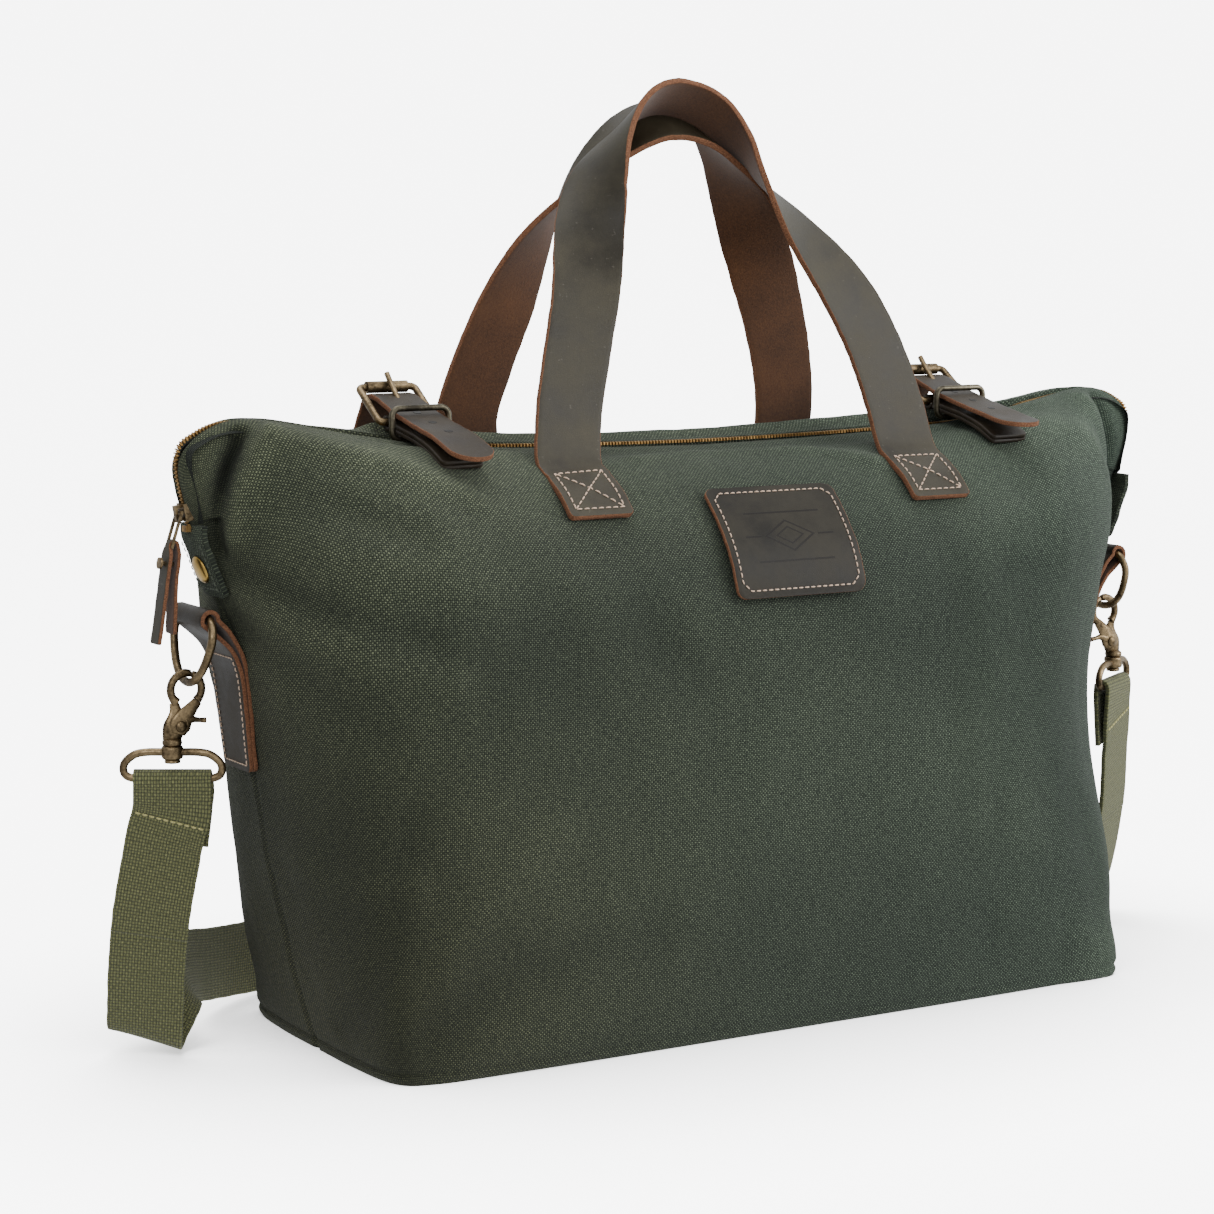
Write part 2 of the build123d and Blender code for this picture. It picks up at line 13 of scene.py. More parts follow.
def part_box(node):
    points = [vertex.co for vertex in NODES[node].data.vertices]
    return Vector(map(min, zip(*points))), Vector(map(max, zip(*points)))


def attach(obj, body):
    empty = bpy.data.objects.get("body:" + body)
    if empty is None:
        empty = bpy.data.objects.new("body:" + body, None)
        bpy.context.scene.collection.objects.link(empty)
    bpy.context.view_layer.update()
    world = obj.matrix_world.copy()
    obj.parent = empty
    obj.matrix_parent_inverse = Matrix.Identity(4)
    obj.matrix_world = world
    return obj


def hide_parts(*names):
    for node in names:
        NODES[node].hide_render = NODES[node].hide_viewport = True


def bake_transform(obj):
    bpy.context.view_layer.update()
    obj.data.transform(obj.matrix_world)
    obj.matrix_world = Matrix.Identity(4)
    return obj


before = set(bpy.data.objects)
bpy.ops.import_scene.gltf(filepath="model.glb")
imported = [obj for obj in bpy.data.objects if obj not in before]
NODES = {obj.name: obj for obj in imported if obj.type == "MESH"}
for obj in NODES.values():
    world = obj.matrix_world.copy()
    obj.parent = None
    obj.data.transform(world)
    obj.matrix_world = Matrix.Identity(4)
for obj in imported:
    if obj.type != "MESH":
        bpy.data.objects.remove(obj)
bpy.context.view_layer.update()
MM = 0.001

# ---------------------------------------------------------------- sizes that the pieces share
WEAVE_PITCH = 1.05 * MM          # one canvas thread
STRAP_W = 40 * MM
STRAP_T = 2.2 * MM
HANDLE_W = 38 * MM
HANDLE_T = 3.4 * MM
BILLET_W = 25 * MM
CLOSURE_X = 176 * MM
RING_Y = 8.0                     # millimetres from the zip's plane to the D-rings' middle
FACING = math.radians(30.7)      # the view's turn; the strap's flat side faces it


# ---------------------------------------------------------------- camera, light and floor
def aim(obj, target):
    """Turn a camera or light towards a point."""
    obj.rotation_euler = (Vector(target) - obj.location).to_track_quat("-Z", "Y").to_euler()


def make_camera():
    """Camera three quarters from the left and a little above."""
    pitch = math.radians(7.4)
    data = bpy.data.cameras.new("camera")
    data.sensor_width = 36.0
    data.lens = 91.4
    camera = bpy.data.objects.new("camera", data)
    camera.location = (-0.9156, -1.4475, 0.443)
    look = Vector((math.sin(FACING) * math.cos(pitch), math.cos(FACING) * math.cos(pitch), -math.sin(pitch)))
    aim(camera, camera.location + look)
    bpy.context.scene.collection.objects.link(camera)
    bpy.context.scene.camera = camera


def area_light(name, place, target, size, power):
    """Square soft light."""
    data = bpy.data.lights.new(name, "AREA")
    data.shape = "SQUARE"
    data.size = size
    data.energy = power
    light = bpy.data.objects.new(name, data)
    light.location = place
    aim(light, target)
    bpy.context.scene.collection.objects.link(light)


def make_studio():
    """Pale sweep of floor and backdrop under soft light."""
    world = bpy.data.worlds.new("studio")
    world.use_nodes = True
    tree = world.node_tree
    background = tree.nodes["Background"]
    place = tree.nodes.new("ShaderNodeTexCoord")
    split = tree.nodes.new("ShaderNodeSeparateXYZ")
    ramp = tree.nodes.new("ShaderNodeMapRange")
    for key, value in (("From Min", -1.0), ("From Max", 1.0), ("To Min", 0.50), ("To Max", 1.45)):
        ramp.inputs[key].default_value = value
    tree.links.new(place.outputs["Generated"], split.inputs[0])
    tree.links.new(split.outputs["X"], ramp.inputs["Value"])
    tree.links.new(ramp.outputs[0], background.inputs["Strength"])
    background.inputs["Color"].default_value = (0.93, 0.95, 0.96, 1)
    bpy.context.scene.world = world
    area_light("key", (1.5, -2.0, 2.0), (0, 0, 0.2), 1.4, 20)
    area_light("top", (-0.2, 0.3, 2.6), (0, 0, 0), 2.0, 36)
    area_light("left_fill", (-1.15, -1.0, 0.9), (-0.2, 0, 0.2), 0.7, 5.5)
    area_light("right_fill", (1.05, -0.85, 0.6), (0.25, 0, 0.15), 0.6, 7.0)

    radius, wall, reach, near, half, steps = 1.4, 3.2, 3.6, -3.5, 5.0, 14
    profile = [(near, 0.0), (reach - radius, 0.0)]
    for i in range(1, steps + 1):
        turn = math.radians(90 * i / steps)
        profile.append((reach - radius + radius * math.sin(turn), radius - radius * math.cos(turn)))
    profile.append((reach, wall))
    verts = [(x, y, z) for y, z in profile for x in (-half, half)]
    faces = [(2 * i, 2 * i + 1, 2 * i + 3, 2 * i + 2) for i in range(len(profile) - 1)]
    sweep = plain_mesh("studio_sweep", verts, faces, [studio_paper()])
    sweep.rotation_euler = (0, 0, -FACING)
    sweep.visible_diffuse = False
    sweep.visible_glossy = False


# ---------------------------------------------------------------- mesh and number helpers
def plain_mesh(name, verts, faces, materials, smooth=True):
    """Mesh object from vertices and faces."""
    mesh = bpy.data.meshes.new(name)
    mesh.from_pydata([tuple(v) for v in verts], [], faces)
    for material in materials:
        mesh.materials.append(material)
    if smooth:
        mesh.polygons.foreach_set("use_smooth", [True] * len(mesh.polygons))
    mesh.update()
    obj = bpy.data.objects.new(name, mesh)
    bpy.context.scene.collection.objects.link(obj)
    return obj


def ring_faces(start, rings, size):
    """Side faces between rings of points that follow one another."""
    return [(a + i, a + (i + 1) % size, a + size + (i + 1) % size, a + size + i)
            for a in range(start, start + (rings - 1) * size, size) for i in range(size)]


def end_faces(start, rings, size):
    """Faces that close the first ring and the last."""
    last = start + (rings - 1) * size
    return [tuple(range(start, start + size))[::-1], tuple(range(last, last + size))]


def grid_faces(start, columns, rows, forward):
    """Faces of a grid of points laid row by row."""
    width = columns + 1
    corners = (0, 1, 1 + width, width) if forward else (width, 1 + width, 1, 0)
    return [tuple(start + j * width + i + corner for corner in corners)
            for j in range(rows) for i in range(columns)]


def set_layer(obj, name, values):
    """Store one vector per vertex, which materials read by name."""
    layer = obj.data.attributes.new(name, "FLOAT_VECTOR", "POINT")
    layer.data.foreach_set("vector", [c for value in values for c in value])


def catmull(points, t):
    """Point at t (0 to 1) on a smooth line through the points."""
    last = len(points) - 1
    at = min(max(t, 0.0), 1.0) * last
    i = min(int(at), last - 1)
    f = at - i
    p1, p2 = points[i], points[i + 1]
    p0 = points[i - 1] if i > 0 else p1 * 2 - p2
    p3 = points[i + 2] if i + 2 <= last else p2 * 2 - p1
    return 0.5 * ((2 * p1) + (p2 - p0) * f + (2 * p0 - 5 * p1 + 4 * p2 - p3) * f * f
                  + (3 * p1 - p0 - 3 * p2 + p3) * f * f * f)


def run_lengths(points):
    """Length of a broken line up to each of its points."""
    run = [0.0]
    for p, q in zip(points, points[1:]):
        run.append(run[-1] + (q - p).length)
    return run


def bell(x, centre, width):
    """Smooth bump, 1 at the centre and about 0 two widths away."""
    return math.exp(-((x - centre) / width) ** 2)


def step(x, low, high):
    """Smooth rise from 0 at low to 1 at high."""
    t = min(max((x - low) / (high - low), 0.0), 1.0)
    return t * t * (3 - 2 * t)


def rise(x, low, span):
    """Straight rise from 0 at low to 1 at low + span, for numbers or arrays."""
    return numpy.clip((x - low) / span, 0, 1)


def mm(*points):
    """Points in millimetres as vectors in metres."""
    return [Vector(p) * MM for p in points]


def to_side(points, side):
    """Points of the left end, mirrored for the right one (side 1)."""
    return [Vector((-side * p[0], p[1], p[2])) for p in points]


# ---------------------------------------------------------------- material helpers
class Shader:
    """Small builder for a node material round one Principled shader."""

    def __init__(self, name, **constants):
        self.material = bpy.data.materials.new(name)
        self.material.use_nodes = True
        self.tree = self.material.node_tree
        self.surface = self.tree.nodes["Principled BSDF"]
        for key, value in constants.items():
            self.surface.inputs[key.replace("_", " ")].default_value = value

    def fill(self, node, key, value):
        """Give a node's socket a value, or link another node's output to it."""
        if isinstance(value, bpy.types.NodeSocket):
            self.tree.links.new(value, node.inputs[key])
        else:
            node.inputs[key].default_value = value

    def add(self, kind, inputs=None, **settings):
        """New node; inputs maps a socket to a value or to another node's output."""
        node = self.tree.nodes.new(kind)
        for key, value in settings.items():
            setattr(node, key, value)
        for key, value in (inputs or {}).items():
            self.fill(node, key, value)
        return node

    def maths(self, operation, a, b=0.0):
        """Result of a two-value Math node."""
        return self.add("ShaderNodeMath", {0: a, 1: b}, operation=operation).outputs[0]

    def times(self, a, b):
        """Product of two values."""
        return self.maths("MULTIPLY", a, b)

    def size(self, value):
        """A value without its sign."""
        return self.maths("ABSOLUTE", value)

    def near(self, value, middle, reach):
        """1 where a value is within reach of the middle, else 0."""
        return self.maths("LESS_THAN", self.size(self.maths("SUBTRACT", value, middle)), reach)

    def noise(self, scale, vector=None, detail=3.0, rough=0.55):
        """Noise between 0 and 1."""
        inputs = {"Scale": scale, "Detail": detail, "Roughness": rough}
        if vector is not None:
            inputs["Vector"] = vector
        return self.add("ShaderNodeTexNoise", inputs).outputs["Fac"]

    def ramp(self, factor, stops):
        """Colour ramp of (position, colour)."""
        node = self.add("ShaderNodeValToRGB", {"Fac": factor})
        elements = node.color_ramp.elements
        while len(elements) < len(stops):
            elements.new(0.5)
        for element, (position, colour) in zip(elements, stops):
            element.position = position
            element.color = (*colour, 1)
        return node.outputs["Color"]

    def greys(self, factor, *stops):
        """Ramp of (position, grey)."""
        return self.ramp(factor, [(position, (grey,) * 3) for position, grey in stops])

    def mix(self, factor, a, b, blend="MIX"):
        """Colour mix."""
        node = self.add("ShaderNodeMix", {0: factor}, data_type="RGBA", blend_type=blend)
        for key, value in ((6, a), (7, b)):
            self.fill(node, key, (*value, 1) if isinstance(value, tuple) else value)
        return node.outputs[2]

    def tint(self, colour, factors):
        """Colour multiplied by three factors."""
        return self.mix(1.0, colour, factors, "MULTIPLY")

    def coords(self):
        """Object coordinates."""
        return self.add("ShaderNodeTexCoord").outputs["Object"]

    def layer(self, name):
        """Vector stored on the mesh under a name."""
        return self.add("ShaderNodeAttribute", attribute_name=name).outputs["Vector"]

    def split(self, vector):
        """The three parts of a vector."""
        return self.add("ShaderNodeSeparateXYZ", {0: vector}).outputs

    def scaled(self, vector, scale):
        """Vector stretched along each axis."""
        return self.add("ShaderNodeMapping", {"Vector": vector, "Scale": scale}).outputs[0]

    def bump(self, height, strength, distance, below=None):
        """Bump from a height, laid over another bump."""
        inputs = {"Height": height, "Strength": strength, "Distance": distance}
        if below is not None:
            inputs["Normal"] = below
        return self.add("ShaderNodeBump", inputs).outputs[0]

    def weave(self, s, t, pitch_s, pitch_t, roundness):
        """Height of a plain weave and which thread is on top (0 or 1)."""
        across = self.maths("SINE", self.times(s, math.pi / pitch_s))
        checks = self.times(across, self.maths("SINE", self.times(t, math.pi / pitch_t)))
        return self.maths("POWER", self.size(checks), roundness), self.maths("GREATER_THAN", checks, 0.0)

    def pores(self, place):
        """Leather's fine grain: 0 in the lines between pores, 1 on them."""
        inputs = {"Vector": place, "Scale": 1500.0}
        gap = self.add("ShaderNodeTexVoronoi", inputs, feature="DISTANCE_TO_EDGE").outputs[0]
        return self.maths("MINIMUM", self.times(gap, 3.0), 1.0)

    def finish(self, **links):
        """Link outputs to the shader's sockets and return the material."""
        for key, value in links.items():
            self.tree.links.new(value, self.surface.inputs[key.replace("_", " ")])
        return self.material


# ---------------------------------------------------------------- materials
def studio_paper():
    """Pale matt floor that glows evenly, with a painted contact shadow where things stand close."""
    sh = Shader("studio_paper", Base_Color=(0.92, 0.92, 0.92, 1), Roughness=0.9, Emission_Strength=6.2)
    # the glow dims where ambient occlusion finds things close: a painted contact shadow
    near = sh.add("ShaderNodeAmbientOcclusion", {"Distance": 0.22}, samples=8).outputs["AO"]
    return sh.finish(Emission_Color=sh.greys(near, (0.25, 0.10), (0.7, 0.55), (0.98, 1.0)))


def canvas_material(name="waxed_canvas", tone=1.0):
    """Waxed cotton canvas: plain weave, uneven dye, pale rubbed high places, with painted light on the top
    and the right end and painted shade in deep creases and between the threads.
    """
    sh = Shader(name, Roughness=0.86, Sheen_Weight=0.04, Sheen_Roughness=0.5, Specular_IOR_Level=0.3)
    flat = sh.layer("weave")
    wear_and_light, olive, crease = sh.split(sh.layer("wear_and_light"))
    drift = sh.noise(60.0, flat, detail=2.0)
    shift = sh.add("ShaderNodeTexNoise", {"Vector": flat, "Scale": 90.0}).outputs["Color"]
    shift = sh.add("ShaderNodeVectorMath", {0: shift, 3: 0.0016}, operation="SCALE").outputs[0]
    wobble = sh.add("ShaderNodeVectorMath", {0: flat, 1: shift}, operation="ADD").outputs[0]
    s, t, _ = sh.split(wobble)
    height, over = sh.weave(s, t, WEAVE_PITCH, WEAVE_PITCH, 0.6)
    slub_s = sh.noise(1.0, sh.scaled(flat, (260, 900, 1)), detail=2.0)
    slub_t = sh.noise(1.0, sh.scaled(flat, (900, 260, 1)), detail=2.0)
    thread = sh.mix(over, sh.ramp(slub_s, [(0.3, (0.028, 0.038, 0.026)), (0.75, (0.160, 0.192, 0.140))]),
                    sh.ramp(slub_t, [(0.3, (0.013, 0.018, 0.014)), (0.75, (0.050, 0.064, 0.049))]))
    # near-black between the threads: painted shade in the weave's gaps
    gaps = sh.mix(sh.maths("POWER", height, 1.1), (0.003, 0.005, 0.003), thread)
    clouds = sh.ramp(sh.noise(7.0, flat, detail=4.0), [(0.3, (0.86, 0.88, 0.86)), (0.7, (1.12, 1.10, 1.08))])
    shade = sh.tint(sh.tint(gaps, clouds), (tone,) * 3)
    # painted light: warmer towards the left end and bluish green towards the right end, as the light falls
    # there
    along = {"Value": sh.split(flat)[0], "From Min": -0.3, "From Max": 0.3}
    tinted = sh.mix(sh.add("ShaderNodeMapRange", along).outputs[0],
                    sh.tint(shade, (1.10, 1.02, 0.86)), sh.tint(shade, (0.94, 1.10, 1.12)))
    tinted = sh.mix(olive, tinted, sh.tint(tinted, (0.92, 0.82, 0.66)))
    # paler by the layer's first value: rubbed wear on raised folds, and painted light along the top and on
    # the right end
    rubbed = sh.mix(sh.times(wear_and_light, sh.maths("ADD", 0.5, drift)), tinted, sh.tint(tinted, (2.5, 2.4, 2.3)))
    # painted shade: far darker in the deep creases at the upper ends
    rubbed = sh.mix(crease, rubbed, sh.tint(rubbed, (0.30, 0.32, 0.34)))
    fine = sh.bump(height, 0.85, 0.0006)
    rumple = sh.bump(sh.noise(24.0, flat, detail=3.0), 0.25, 0.0022, fine)
    return sh.finish(Base_Color=rubbed, Normal=rumple)


def leather_face(name, dark, light, scale=1.0):
    """Oiled leather's grain side."""
    sh = Shader(name, Roughness=0.5, Specular_IOR_Level=0.32)
    place = sh.coords()
    clouds = sh.noise(38.0 * scale, place, detail=5.0, rough=0.62)
    colour = sh.ramp(clouds, [(0.32, dark), (0.72, light)])
    grain = sh.pores(place)
    speck = sh.mix(sh.times(sh.maths("SUBTRACT", 1.0, grain), 0.35), colour, (0.012, 0.01, 0.008))
    scuffs = sh.noise(1.0, sh.scaled(place, (420, 90, 420)), detail=4.0)
    rubbed = sh.mix(sh.times(sh.maths("GREATER_THAN", scuffs, 0.69), 0.25), speck, (0.16, 0.14, 0.115))
    normal = sh.bump(clouds, 0.3, 0.0009, sh.bump(grain, 0.25, 0.00015))
    return sh.finish(Base_Color=rubbed, Normal=normal, Roughness=sh.greys(clouds, (0.3, 0.40), (0.7, 0.60)))


def leather_suede():
    """Flesh side: rust-brown nap."""
    sh = Shader("leather_suede", Roughness=0.95, Sheen_Weight=0.25)
    place = sh.coords()
    nap = sh.noise(900.0, place, detail=4.0, rough=0.7)
    both = sh.maths("ADD", sh.times(nap, 0.6), sh.times(sh.noise(30.0, place, detail=4.0), 0.4))
    colour = sh.ramp(both, [(0.32, (0.040, 0.014, 0.0045)), (0.68, (0.134, 0.052, 0.016))])
    return sh.finish(Base_Color=colour, Normal=sh.bump(nap, 0.5, 0.0003))


def fibre_material(name, scale, stops, strength, depth, detail, rough, **constants):
    """Matt material of fine fibres, with colour and bump from one noise."""
    sh = Shader(name, **constants)
    fibres = sh.noise(scale, sh.coords(), detail, rough)
    return sh.finish(Base_Color=sh.ramp(fibres, stops), Normal=sh.bump(fibres, strength, depth))


def metal(name, dark, bright, rough=0.38, patina=60.0):
    """Antique plated metal: patina in random darker and brighter patches, with fine specks."""
    sh = Shader(name, Metallic=1.0)
    place = sh.coords()
    clouds = sh.noise(patina, place, detail=6.0, rough=0.65)
    specks = sh.noise(700.0, place, detail=3.0)
    mixed = sh.maths("ADD", sh.times(clouds, 0.7), sh.times(specks, 0.3))
    return sh.finish(Base_Color=sh.ramp(mixed, [(0.36, dark), (0.62, bright)]),
                     Roughness=sh.greys(mixed, (0.3, rough + 0.18), (0.7, rough)),
                     Normal=sh.bump(specks, 0.2, 0.0001))


def webbing_material():
    """Coarse olive cotton webbing."""
    sh = Shader("cotton_webbing", Roughness=0.88, Sheen_Weight=0.15)
    flat = sh.layer("weave")
    s, t, _ = sh.split(flat)
    height, over = sh.weave(s, t, 1.55 * MM, 1.7 * MM, 0.42)
    fibres = sh.noise(1.0, sh.scaled(flat, (1500, 400, 1)), detail=3.0)
    bright = sh.ramp(fibres, [(0.3, (0.110, 0.112, 0.040)), (0.72, (0.290, 0.290, 0.118))])
    dim = sh.ramp(fibres, [(0.3, (0.085, 0.092, 0.035)), (0.72, (0.225, 0.236, 0.098))])
    # near-black between the threads: painted shade in the weave's gaps
    colour = sh.mix(height, (0.014, 0.016, 0.006), sh.mix(over, dim, bright))
    return sh.finish(Base_Color=colour, Normal=sh.bump(height, 0.9, 0.0007))


def thread_material(name, colour):
    """Twisted sewing thread."""
    sh = Shader(name, Roughness=0.75, Sheen_Weight=0.2)
    twist = sh.noise(2600.0, sh.coords(), detail=2.0)
    dark = tuple(c * 0.72 for c in colour)
    return sh.finish(Base_Color=sh.ramp(twist, [(0.35, dark), (0.65, colour)]))


def patch_material():
    """Dark patch leather, blind-stamped with two lozenges and short rules."""
    sh = Shader("patch_leather", Specular_IOR_Level=0.2)
    x, y, _ = sh.split(sh.layer("weave"))
    y = sh.maths("SUBTRACT", y, 33.5 * MM)
    ax, ay = sh.size(x), sh.size(y)
    lozenge = sh.maths("ADD", sh.maths("DIVIDE", ax, 15 * MM), sh.maths("DIVIDE", ay, 9 * MM))
    rings = sh.maths("MAXIMUM", sh.near(lozenge, 1.0, 0.075), sh.near(lozenge, 0.55, 0.06))
    rule = sh.times(sh.near(ay, 14.5 * MM, 0.55 * MM), sh.maths("LESS_THAN", ax, 24 * MM))
    arms = sh.times(sh.maths("LESS_THAN", ay, 0.55 * MM), sh.near(ax, 23 * MM, 5 * MM))
    stamp = sh.maths("MAXIMUM", rings, sh.maths("MAXIMUM", rule, arms))
    place = sh.coords()
    clouds = sh.noise(48.0, place, detail=5.0, rough=0.62)
    colour = sh.ramp(clouds, [(0.32, (0.012, 0.010, 0.007)), (0.72, (0.034, 0.029, 0.020))])
    pressed = sh.mix(sh.times(stamp, 0.75), colour, (0.008, 0.006, 0.005))
    fine = sh.bump(sh.pores(place), 0.22, 0.00015)
    deep = sh.bump(sh.maths("SUBTRACT", 1.0, stamp), 0.9, 0.0006, fine)
    return sh.finish(Base_Color=pressed, Normal=deep, Roughness=sh.greys(clouds, (0.3, 0.38), (0.7, 0.56)))


EDGE_STOPS = [(0.3, (0.055, 0.019, 0.008)), (0.5, (0.165, 0.064, 0.027)), (0.75, (0.32, 0.150, 0.072))]
COTTON_STOPS = [(0.3, (0.20, 0.18, 0.14)), (0.7, (0.32, 0.29, 0.23))]
BOARD_STOPS = [(0.3, (0.10, 0.095, 0.085)), (0.7, (0.19, 0.18, 0.16))]
MATERIALS = {
    "canvas": canvas_material(),
    "leather": leather_face("oiled_leather", (0.025, 0.020, 0.011), (0.064, 0.054, 0.032)),
    "trim": leather_face("trim_leather", (0.017, 0.011, 0.006), (0.046, 0.034, 0.020), 1.3),
    "suede": leather_suede(),
    "edge": fibre_material("leather_edge", 1400.0, EDGE_STOPS, 0.8, 0.0004, 4.0, 0.7, Roughness=0.9),
    # near-black leather: painted shade for the billet's holes
    "hole_shade": leather_face("painted_hole_shade", (0.005, 0.004, 0.003), (0.010, 0.008, 0.006)),
    "patch": patch_material(),
    "canvas_edge": canvas_material("canvas_seam_edge", 0.45),
    "tape": canvas_material("zip_tape_cloth", 0.35),
    "lining": fibre_material("cotton_lining_cloth", 700.0, COTTON_STOPS, 0.4, 0.0003, 3.0, 0.55,
                             Roughness=0.9, Sheen_Weight=0.1),
    "board": fibre_material("fibre_board", 400.0, BOARD_STOPS, 0.5, 0.0004, 5.0, 0.7, Roughness=0.8),
    "webbing": webbing_material(),
    "cream_thread": thread_material("cream_thread", (0.78, 0.56, 0.41)),
    "olive_thread": thread_material("olive_thread", (0.50, 0.46, 0.18)),
    "green_thread": thread_material("green_thread", (0.07, 0.085, 0.055)),
    "brass": metal("antique_brass", (0.030, 0.021, 0.012), (0.36, 0.262, 0.145), 0.32),
    "bronze": metal("dark_bronze", (0.035, 0.030, 0.022), (0.17, 0.150, 0.105), 0.3),
    "gold": metal("snap_brass", (0.36, 0.22, 0.055), (0.62, 0.41, 0.12), 0.24, 30.0),
    "zip": metal("zip_brass", (0.22, 0.125, 0.045), (0.55, 0.34, 0.13), 0.42, 300.0),
}


def skin(face):
    """A leather strip's materials: outer face, flesh side, cut edge."""
    return [MATERIALS[face], MATERIALS["suede"], MATERIALS["edge"]]


# ---------------------------------------------------------------- strips, tubes, lathed pieces and stitches
def line_stations(points, acrosses, spacing, ends=()):
    """Evenly spaced (centre, across, face, place) along a smooth line, with more stations near rounded tips.

    ends holds (at the start or not, tip radius); acrosses is one width direction or one for each point.
    """
    if isinstance(acrosses, Vector):
        acrosses = [acrosses] * len(points)
    count = 40 * (len(points) - 1)
    dense = [catmull(points, i / count) for i in range(count + 1)]
    wide = [catmull(acrosses, i / count) for i in range(count + 1)]
    run = run_lengths(dense)
    parts = max(2, round(run[-1] / spacing))
    places = [run[-1] * i / parts for i in range(parts + 1)]
    for near, radius in ends:
        for part in (0.01, 0.04, 0.1, 0.2, 0.35, 0.55, 0.8):
            places.append(radius * part if near else run[-1] - radius * part)
    stations, k = [], 0
    for place in sorted(set(round(p, 7) for p in places)):
        while k < count - 1 and run[k + 1] < place:
            k += 1
        f = (place - run[k]) / max(run[k + 1] - run[k], 1e-9)
        first, last = k, k + 1
        if 0 < k < count - 1:
            first, last = (k - 1, k + 2) if f > 0.5 else (k - 1, k + 1)
        tangent = (dense[last] - dense[first]).normalized()
        across = wide[k].lerp(wide[k + 1], f)
        across = (across - tangent * across.dot(tangent)).normalized()
        stations.append((dense[k].lerp(dense[k + 1], f), across, tangent.cross(across), place))
    return stations


def facing(stations, way):
    """The stations with every face turned towards a direction."""
    way = Vector(way)
    return [(c, a, f if f.dot(way) > 0 else -f, s) for c, a, f, s in stations]


def strip(name, stations, width, thickness, materials, tips=(0.0, 0.0), columns=10, fray=0.0):
    """Flat strip: face materials in the order outer face, inner face, cut edge.

    tips are the corner radii at its two ends, and fray roughens its edges.
    """
    total = stations[-1][3]
    verts, flats = [], []
    bevel = min(0.2 * thickness, 0.45 * MM)
    for centre, across, face, place in stations:
        half = width / 2
        for radius, gap in ((tips[0], place), (tips[1], total - place)):
            if gap < radius:
                half -= radius - math.sqrt(max(radius * radius - (radius - gap) ** 2, 0.0))
        half = max(half, 0.2 * bevel)
        ring = [((2 * i / columns - 1) * (half - bevel), thickness / 2) for i in range(columns + 1)]
        ring += [(half - 0.3 * bevel, thickness / 2 - 0.25 * bevel), (half, thickness / 2 - bevel),
                 (half, bevel - thickness / 2), (half - 0.3 * bevel, 0.25 * bevel - thickness / 2)]
        ring += [(-a, -f) for a, f in ring]
        for a, f in ring:
            wobble = fray * noise.noise(Vector((place * 170, a * 9, 3.1))) * step(abs(a), 0.6 * half, half)
            verts.append(centre + across * (a + wobble) + face * f)
            flats.append((a, place, f))
    rings, size = len(stations), len(ring)
    faces = ring_faces(0, rings, size) + end_faces(0, rings, size)
    inner = range(columns + 5, 2 * columns + 5)
    band = [0 if i < columns else 1 if i in inner else 2 for i in range(size)]
    obj = plain_mesh(name, verts, faces, materials)
    obj.data.polygons.foreach_set("material_index", band * (rings - 1) + [2, 2])
    set_layer(obj, "weave", flats)
    return obj


def on_strip(stations, place, across, lift):
    """Point and normal over a strip's outer face, place along it and across from its middle."""
    for (c0, a0, f0, s0), (c1, a1, f1, s1) in zip(stations, stations[1:]):
        if s1 >= place or s1 == stations[-1][3]:
            t = min(max((place - s0) / max(s1 - s0, 1e-9), 0.0), 1.0)
            face = f0.lerp(f1, t).normalized()
            return c0.lerp(c1, t) + a0.lerp(a1, t).normalized() * across + face * lift, face


def seam(stations, corners, lift, spacing=1.5 * MM):
    """Points and normals over a strip, along straight runs between corners of (place, across)."""
    path = []
    for a, b in zip(corners, corners[1:]):
        count = max(1, round((Vector(b) - Vector(a)).length / spacing))
        path += [tuple(Vector(a).lerp(Vector(b), i / count)) for i in range(count)]
    return [on_strip(stations, place, across, lift) for place, across in path + [corners[-1]]]


def box_corners(low, high, low_half, high_half):
    """Corners of a stitched rectangle, (place, across), back to the first."""
    return [(low, -low_half), (low, low_half), (high, high_half), (high, -high_half), (low, -low_half)]


def stitches(name, paths, material, length=2.9 * MM, gap=1.1 * MM, radius=0.42 * MM):
    """Rows of sewn stitches: each path is a list of (point, normal), and each stitch a small arched bead."""
    verts, faces = [], []
    sides = 6
    for path in paths:
        run = run_lengths([point for point, _ in path])
        count = max(1, round(run[-1] / (length + gap)))
        pitch = run[-1] / count
        for n in range(count):
            spots = []
            for part in (0.0, 0.12, 0.5, 0.88, 1.0):
                place = n * pitch + gap / 2 + part * (pitch - gap)
                k = 0
                while k < len(run) - 2 and run[k + 1] < place:
                    k += 1
                t = (place - run[k]) / max(run[k + 1] - run[k], 1e-9)
                (p, p_up), (q, q_up) = path[k], path[k + 1]
                spots.append((p.lerp(q, t), p_up.lerp(q_up, t).normalized()))
            along = (spots[-1][0] - spots[0][0]).normalized()
            faces += ring_faces(len(verts), 5, sides) + end_faces(len(verts), 5, sides)
            arch = ((0.35, -0.7), (0.85, 0.1), (1.0, 0.5), (0.85, 0.1), (0.35, -0.7))
            for (point, up), (size, lift) in zip(spots, arch):
                side = along.cross(up).normalized()
                middle = point + up * (radius * lift)
                for i in range(sides):
                    turn = 2 * math.pi * i / sides
                    verts.append(middle + (side * math.cos(turn) + up * math.sin(turn)) * (radius * size))
    return plain_mesh(name, verts, faces, [material])


